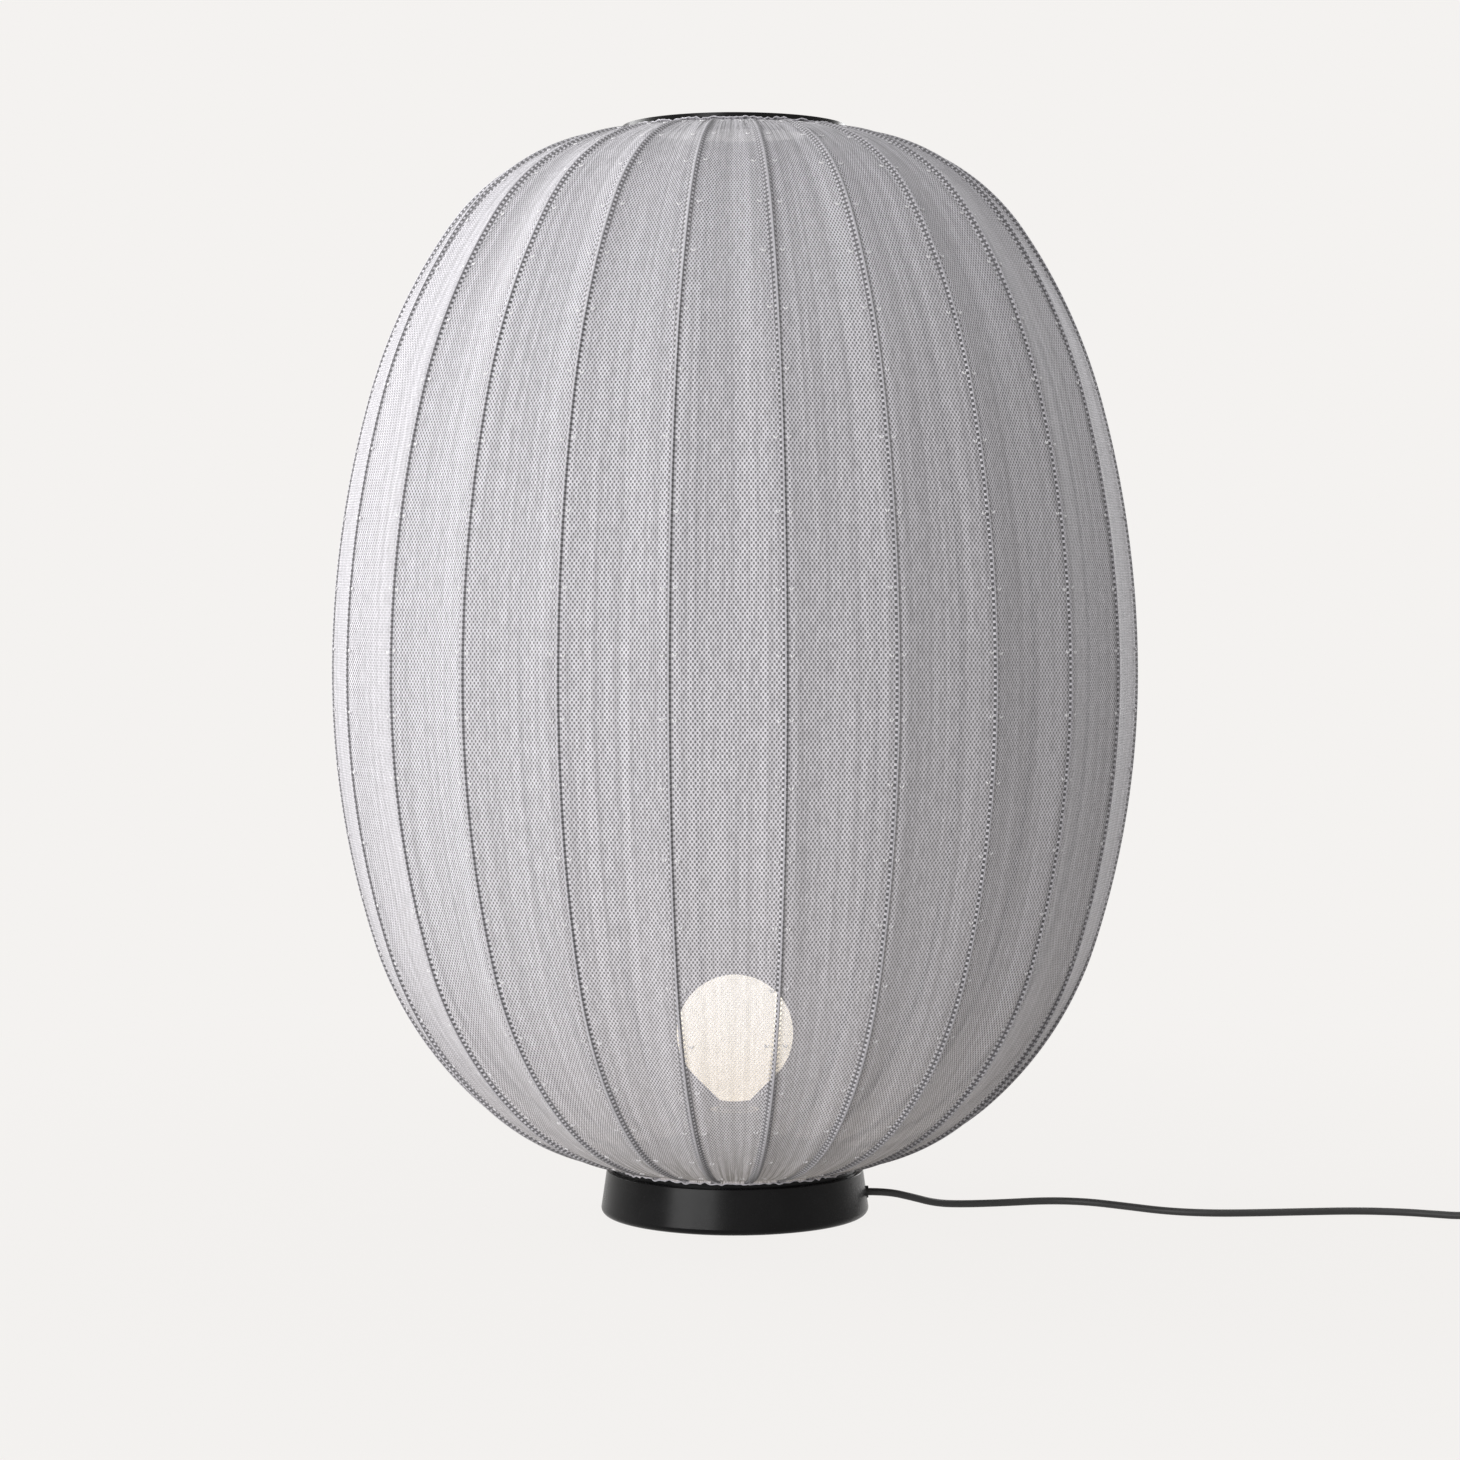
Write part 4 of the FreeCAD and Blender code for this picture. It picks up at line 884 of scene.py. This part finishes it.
def grainFinish(name, dark, light, roughness, grain, depth, patch=35.0, spread=0.10, metallic=0.0, more=None):
    # moulded, painted or cast surface: colour in soft patches, roughness that follows them, fine grain
    look = grainLook
    f = newFinish(name)
    where = f.place()
    cloud = f.noise(where, patch, *look["cloud"])
    fine = f.noise(where, grain, *look["fine"])
    least = roughness - spread * (1 + look["fineShare"]) / 2
    sockets = {
        "Base Color": f.mix(f.soft(cloud, *look["toneEdge"]), tone(*dark), tone(*light)),
        "Roughness": cloud * spread + fine * spread * look["fineShare"] + least,
        "Metallic": metallic,
        "Normal": f.bump(fine, depth)}
    sockets.update(more or {})
    return f.surface(sockets)


drawnLook = {
    "stretch": (900.0, 900.0, 60.0),
    "lineDetail": 2.0,
    "patch": 60.0,
    "lineRough": 0.16,
    "patchRough": 0.10,
    "bump": 0.00004,
}


def drawnMetalFinish(name, dark, light, roughness):
    # plated or drawn metal: faint lines along its height
    look = drawnLook
    f = newFinish(name)
    where = f.place()
    lines = f.noise(f.stretch(where, look["stretch"]), 1.0, look["lineDetail"])
    cloud = f.noise(where, look["patch"])
    least = roughness - (look["lineRough"] + look["patchRough"]) / 2
    return f.surface({
        "Base Color": f.mix(cloud, tone(*dark), tone(*light)),
        "Metallic": 1.0,
        "Roughness": lines * look["lineRough"] + cloud * look["patchRough"] + least,
        "Normal": f.bump(lines, look["bump"])})


feltLook = {
    "dark": tone(0.015, 0.015, 0.016),
    "light": tone(0.06, 0.06, 0.06),
    "hair": (1400.0, 4.0, 0.7),     # scale, detail and roughness of the noise
    "roughness": 0.95,
    "sheen": 0.3,
    "bump": 0.0005,
}


def feltFinish():
    look = feltLook
    f = newFinish("felt")
    hair = f.noise(f.place(), *look["hair"])
    return f.surface({
        "Base Color": f.mix(hair, look["dark"], look["light"]),
        "Roughness": look["roughness"], "Sheen Weight": look["sheen"], "Normal": f.bump(hair, look["bump"])})


glowLook = {
    "strength": 3.65,
    "low": 0.090, "high": 0.192,            # heights between which the light changes its tone
    "lowTone": tone(0.94, 0.82, 0.64),
    "highTone": tone(1.0, 0.93, 0.80),
    "patchTone": tone(1.0, 0.92, 0.78),
    "patch": (22.0, 2.0),                   # scale and detail of the noise
    "patchShare": 0.2,
    "collarEdge": (0.0930, 0.0936),         # below this height the bulb is an unlit collar
    "collarTone": tone(0.62, 0.61, 0.59),
    "glassTone": tone(0.93, 0.91, 0.87),
    "roughness": 0.22,
    "roughSpread": 0.08,
}


def glowFinish():
    # opal glass, lit from inside: warmer towards the neck
    look = glowLook
    f = newFinish("opal_glass_lit")
    where = f.place()
    height = f.node("SeparateXYZ", None, {0: where}, 2)
    cloud = f.noise(where, *look["patch"])
    warm = f.mix(f.soft(height, look["low"], look["high"]), look["lowTone"], look["highTone"])
    lit = f.soft(height, *look["collarEdge"])
    glow = f.mix(cloud * look["patchShare"], warm, look["patchTone"])
    return f.surface({
        "Base Color": f.mix(lit, look["collarTone"], look["glassTone"]),
        "Roughness": cloud * look["roughSpread"] + look["roughness"],
        "Emission Color": f.mix(lit, tone(0, 0, 0), glow),
        "Emission Strength": look["strength"]})


# name, dark and light tone, roughness, scale of the grain and its depth
grainTable = {
    "black_satin": ("satin_black_coat", (0.004, 0.004, 0.0043), (0.0065, 0.0065, 0.007),
                    0.27, 1500.0, 0.00003),
    "cast_iron": ("cast_iron", (0.07, 0.07, 0.072), (0.15, 0.145, 0.14), 0.68, 420.0, 0.0004),
    "rib_steel": ("coated_rib_wire", (0.07, 0.07, 0.074), (0.12, 0.12, 0.125), 0.45, 900.0, 0.00003),
    "cord_rubber": ("cord_black", (0.010, 0.010, 0.010), (0.016, 0.016, 0.016), 0.55, 800.0, 0.00006),
    "inner_plastic": ("pale_plastic", (0.70, 0.69, 0.65), (0.77, 0.76, 0.72), 0.48, 900.0, 0.00004),
    "porcelain": ("porcelain", (0.80, 0.79, 0.75), (0.88, 0.87, 0.83), 0.38, 300.0, 0.00005),
    "holder_plastic": ("holder_white", (0.66, 0.64, 0.60), (0.72, 0.70, 0.66), 0.42, 900.0, 0.00003),
    "switch_plastic": ("switch_black", (0.014, 0.014, 0.014), (0.021, 0.021, 0.021), 0.50, 1100.0, 0.00007),
}
grainExtras = {
    "black_satin": {"spread": 0.06, "more": {"Specular IOR Level": 0.12}},
    "cast_iron": {"patch": 50.0, "spread": 0.2, "metallic": 0.6},
}
# name, dark and light tone, and roughness
drawnTable = {
    "steel": ("zinc_plated_steel", (0.50, 0.50, 0.51), (0.62, 0.62, 0.62), 0.34),
    "cap_metal": ("rolled_cap", (0.62, 0.62, 0.61), (0.74, 0.74, 0.72), 0.28),
    "brass": ("brass", (0.64, 0.45, 0.19), (0.76, 0.57, 0.28), 0.30),
    "pin_metal": ("nickel_pins", (0.68, 0.67, 0.65), (0.80, 0.79, 0.77), 0.20),
}
finishes = {"knit": knitFinish(), "opal_glass": glowFinish(), "floor_pad": feltFinish()}
for slot, row in grainTable.items():
    finishes[slot] = grainFinish(*row, **grainExtras.get(slot, {}))
for slot, row in drawnTable.items():
    finishes[slot] = drawnMetalFinish(*row)
print(len(finishes), "finishes made")


def dress(piece, finish):
    piece.data.materials.clear()
    piece.data.materials.append(finish)
    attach(piece, "lamp")


for entry in frame["record"]["subparts"]:
    mesh = nodes[entry["node"]].data
    mesh.materials.clear()
    mesh.materials.append(finishes[entry["material_slot"]])

dress(knit, finishes["knit"])
hemYarn = hemFinish()
for hem in (topHem, bottomHem):
    dress(hem, hemYarn)
dress(knots, knotFinish())
for piece in (lampCord, plugCord, coilTie):
    dress(piece, finishes["cord_rubber"])
for boot in (switchBootIn, switchBootOut, plugBoot):
    dress(boot, finishes["switch_plastic"])
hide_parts("knit_cover")
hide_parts("cord_lamp_to_switch")
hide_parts("cord_switch_to_coil", "cord_coil", "cord_coil_to_plug")


# Spring of the foot switch: given a mesh of its own


def seatSpring():
    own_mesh(nodes["switch_spring"])


seatSpring()
print("pieces dressed")


# Floor, world and lamps

stageSet = {
    "paper": tone(0.905, 0.888, 0.871),     # the background as the camera sees it
    "floor": tone(0.48, 0.47, 0.46),        # the floor as the light sees it
    "floorRings": [0.0001, 1.0, 6.0, 40.0],
    "floorCorners": 96,
    "shadowShare": 0.04,        # how much of the floor's own shading the camera sees near the object
    "shadowEdge": (0.35, 1.4),
    "worldLight": 0.33,
}
lampSet = [
    # name, place, aim, width, height, watts
    ("side_light", (-2.85, 1.5, 1.7), (0, 0, 0.45), 2.0, 1.9, 134.0),
    ("front_light", (-1.18, -2.54, 0.80), (0, 0, 0.38), 1.0, 1.2, 34.5),
    ("low_light", (-1.95, -1.95, 0.28), (0, 0, 0.03), 1.0, 0.40, 15.0),
    ("edge_light", (1.95, 2.55, 0.9), (0, 0, 0.42), 1.2, 2.0, 60.0),
    ("top_light", (0.2, -0.6, 3.2), (0, 0, 0.4), 2.2, 2.2, 24.0),
]


def seenRay(f):
    # rays that show the background: straight from the camera, in gloss and through glass
    straight = f.node("LightPath", None, None, "Is Camera Ray")
    return straight.larger(straight.sibling("Is Transmission Ray")).larger(straight.sibling("Is Glossy Ray"))


def makeFloor():
    corners = stageSet["floorCorners"]
    turn = np.arange(corners) * tau / corners
    rings = stageSet["floorRings"]
    points = [(r * math.cos(a), r * math.sin(a), 0) for r in rings for a in turn]
    floor = addMesh("floor", points, gridFaces(len(rings), corners))
    f = newFinish("floor_paper")
    where = f.node("NewGeometry", None, None, "Position")
    away = f.node("VectorMath", {"operation": "LENGTH"}, {0: where}, "Value")
    flat = f.soft(away, *stageSet["shadowEdge"])
    shown = seenRay(f) * (flat * stageSet["shadowShare"] + (1 - stageSet["shadowShare"]))
    matt = f.node("BsdfDiffuse", None, {"Color": stageSet["floor"]})
    plain = f.node("Emission", None, {"Color": stageSet["paper"], "Strength": 1.0})
    paper = f.node("MixShader", None, {0: shown, 1: matt, 2: plain})
    floor.data.materials.append(f.end("OutputMaterial", paper))


def makeWorld():
    world = bpy.data.worlds.new("studio")
    scene.world = world
    f = Finish(world)
    light = f.node("Background", None, {"Color": tone(1.0, 1.0, 1.0), "Strength": stageSet["worldLight"]})
    paper = f.node("Background", None, {"Color": stageSet["paper"], "Strength": 1.0})
    f.end("OutputWorld", f.node("MixShader", None, {0: seenRay(f), 1: light, 2: paper}))


def makeLamp(name, place, aim, width, height, watts):
    data = bpy.data.lights.new(name, "AREA")
    data.shape = "RECTANGLE"
    data.size = width
    data.size_y = height
    data.energy = watts
    lamp = addObject(name, data)
    lamp.location = place
    lamp.rotation_euler = (Vector(aim) - Vector(place)).to_track_quat("-Z", "Y").to_euler()
    lamp.visible_camera = False


makeFloor()
makeWorld()
for row in lampSet:
    makeLamp(*row)
print("stage lit")
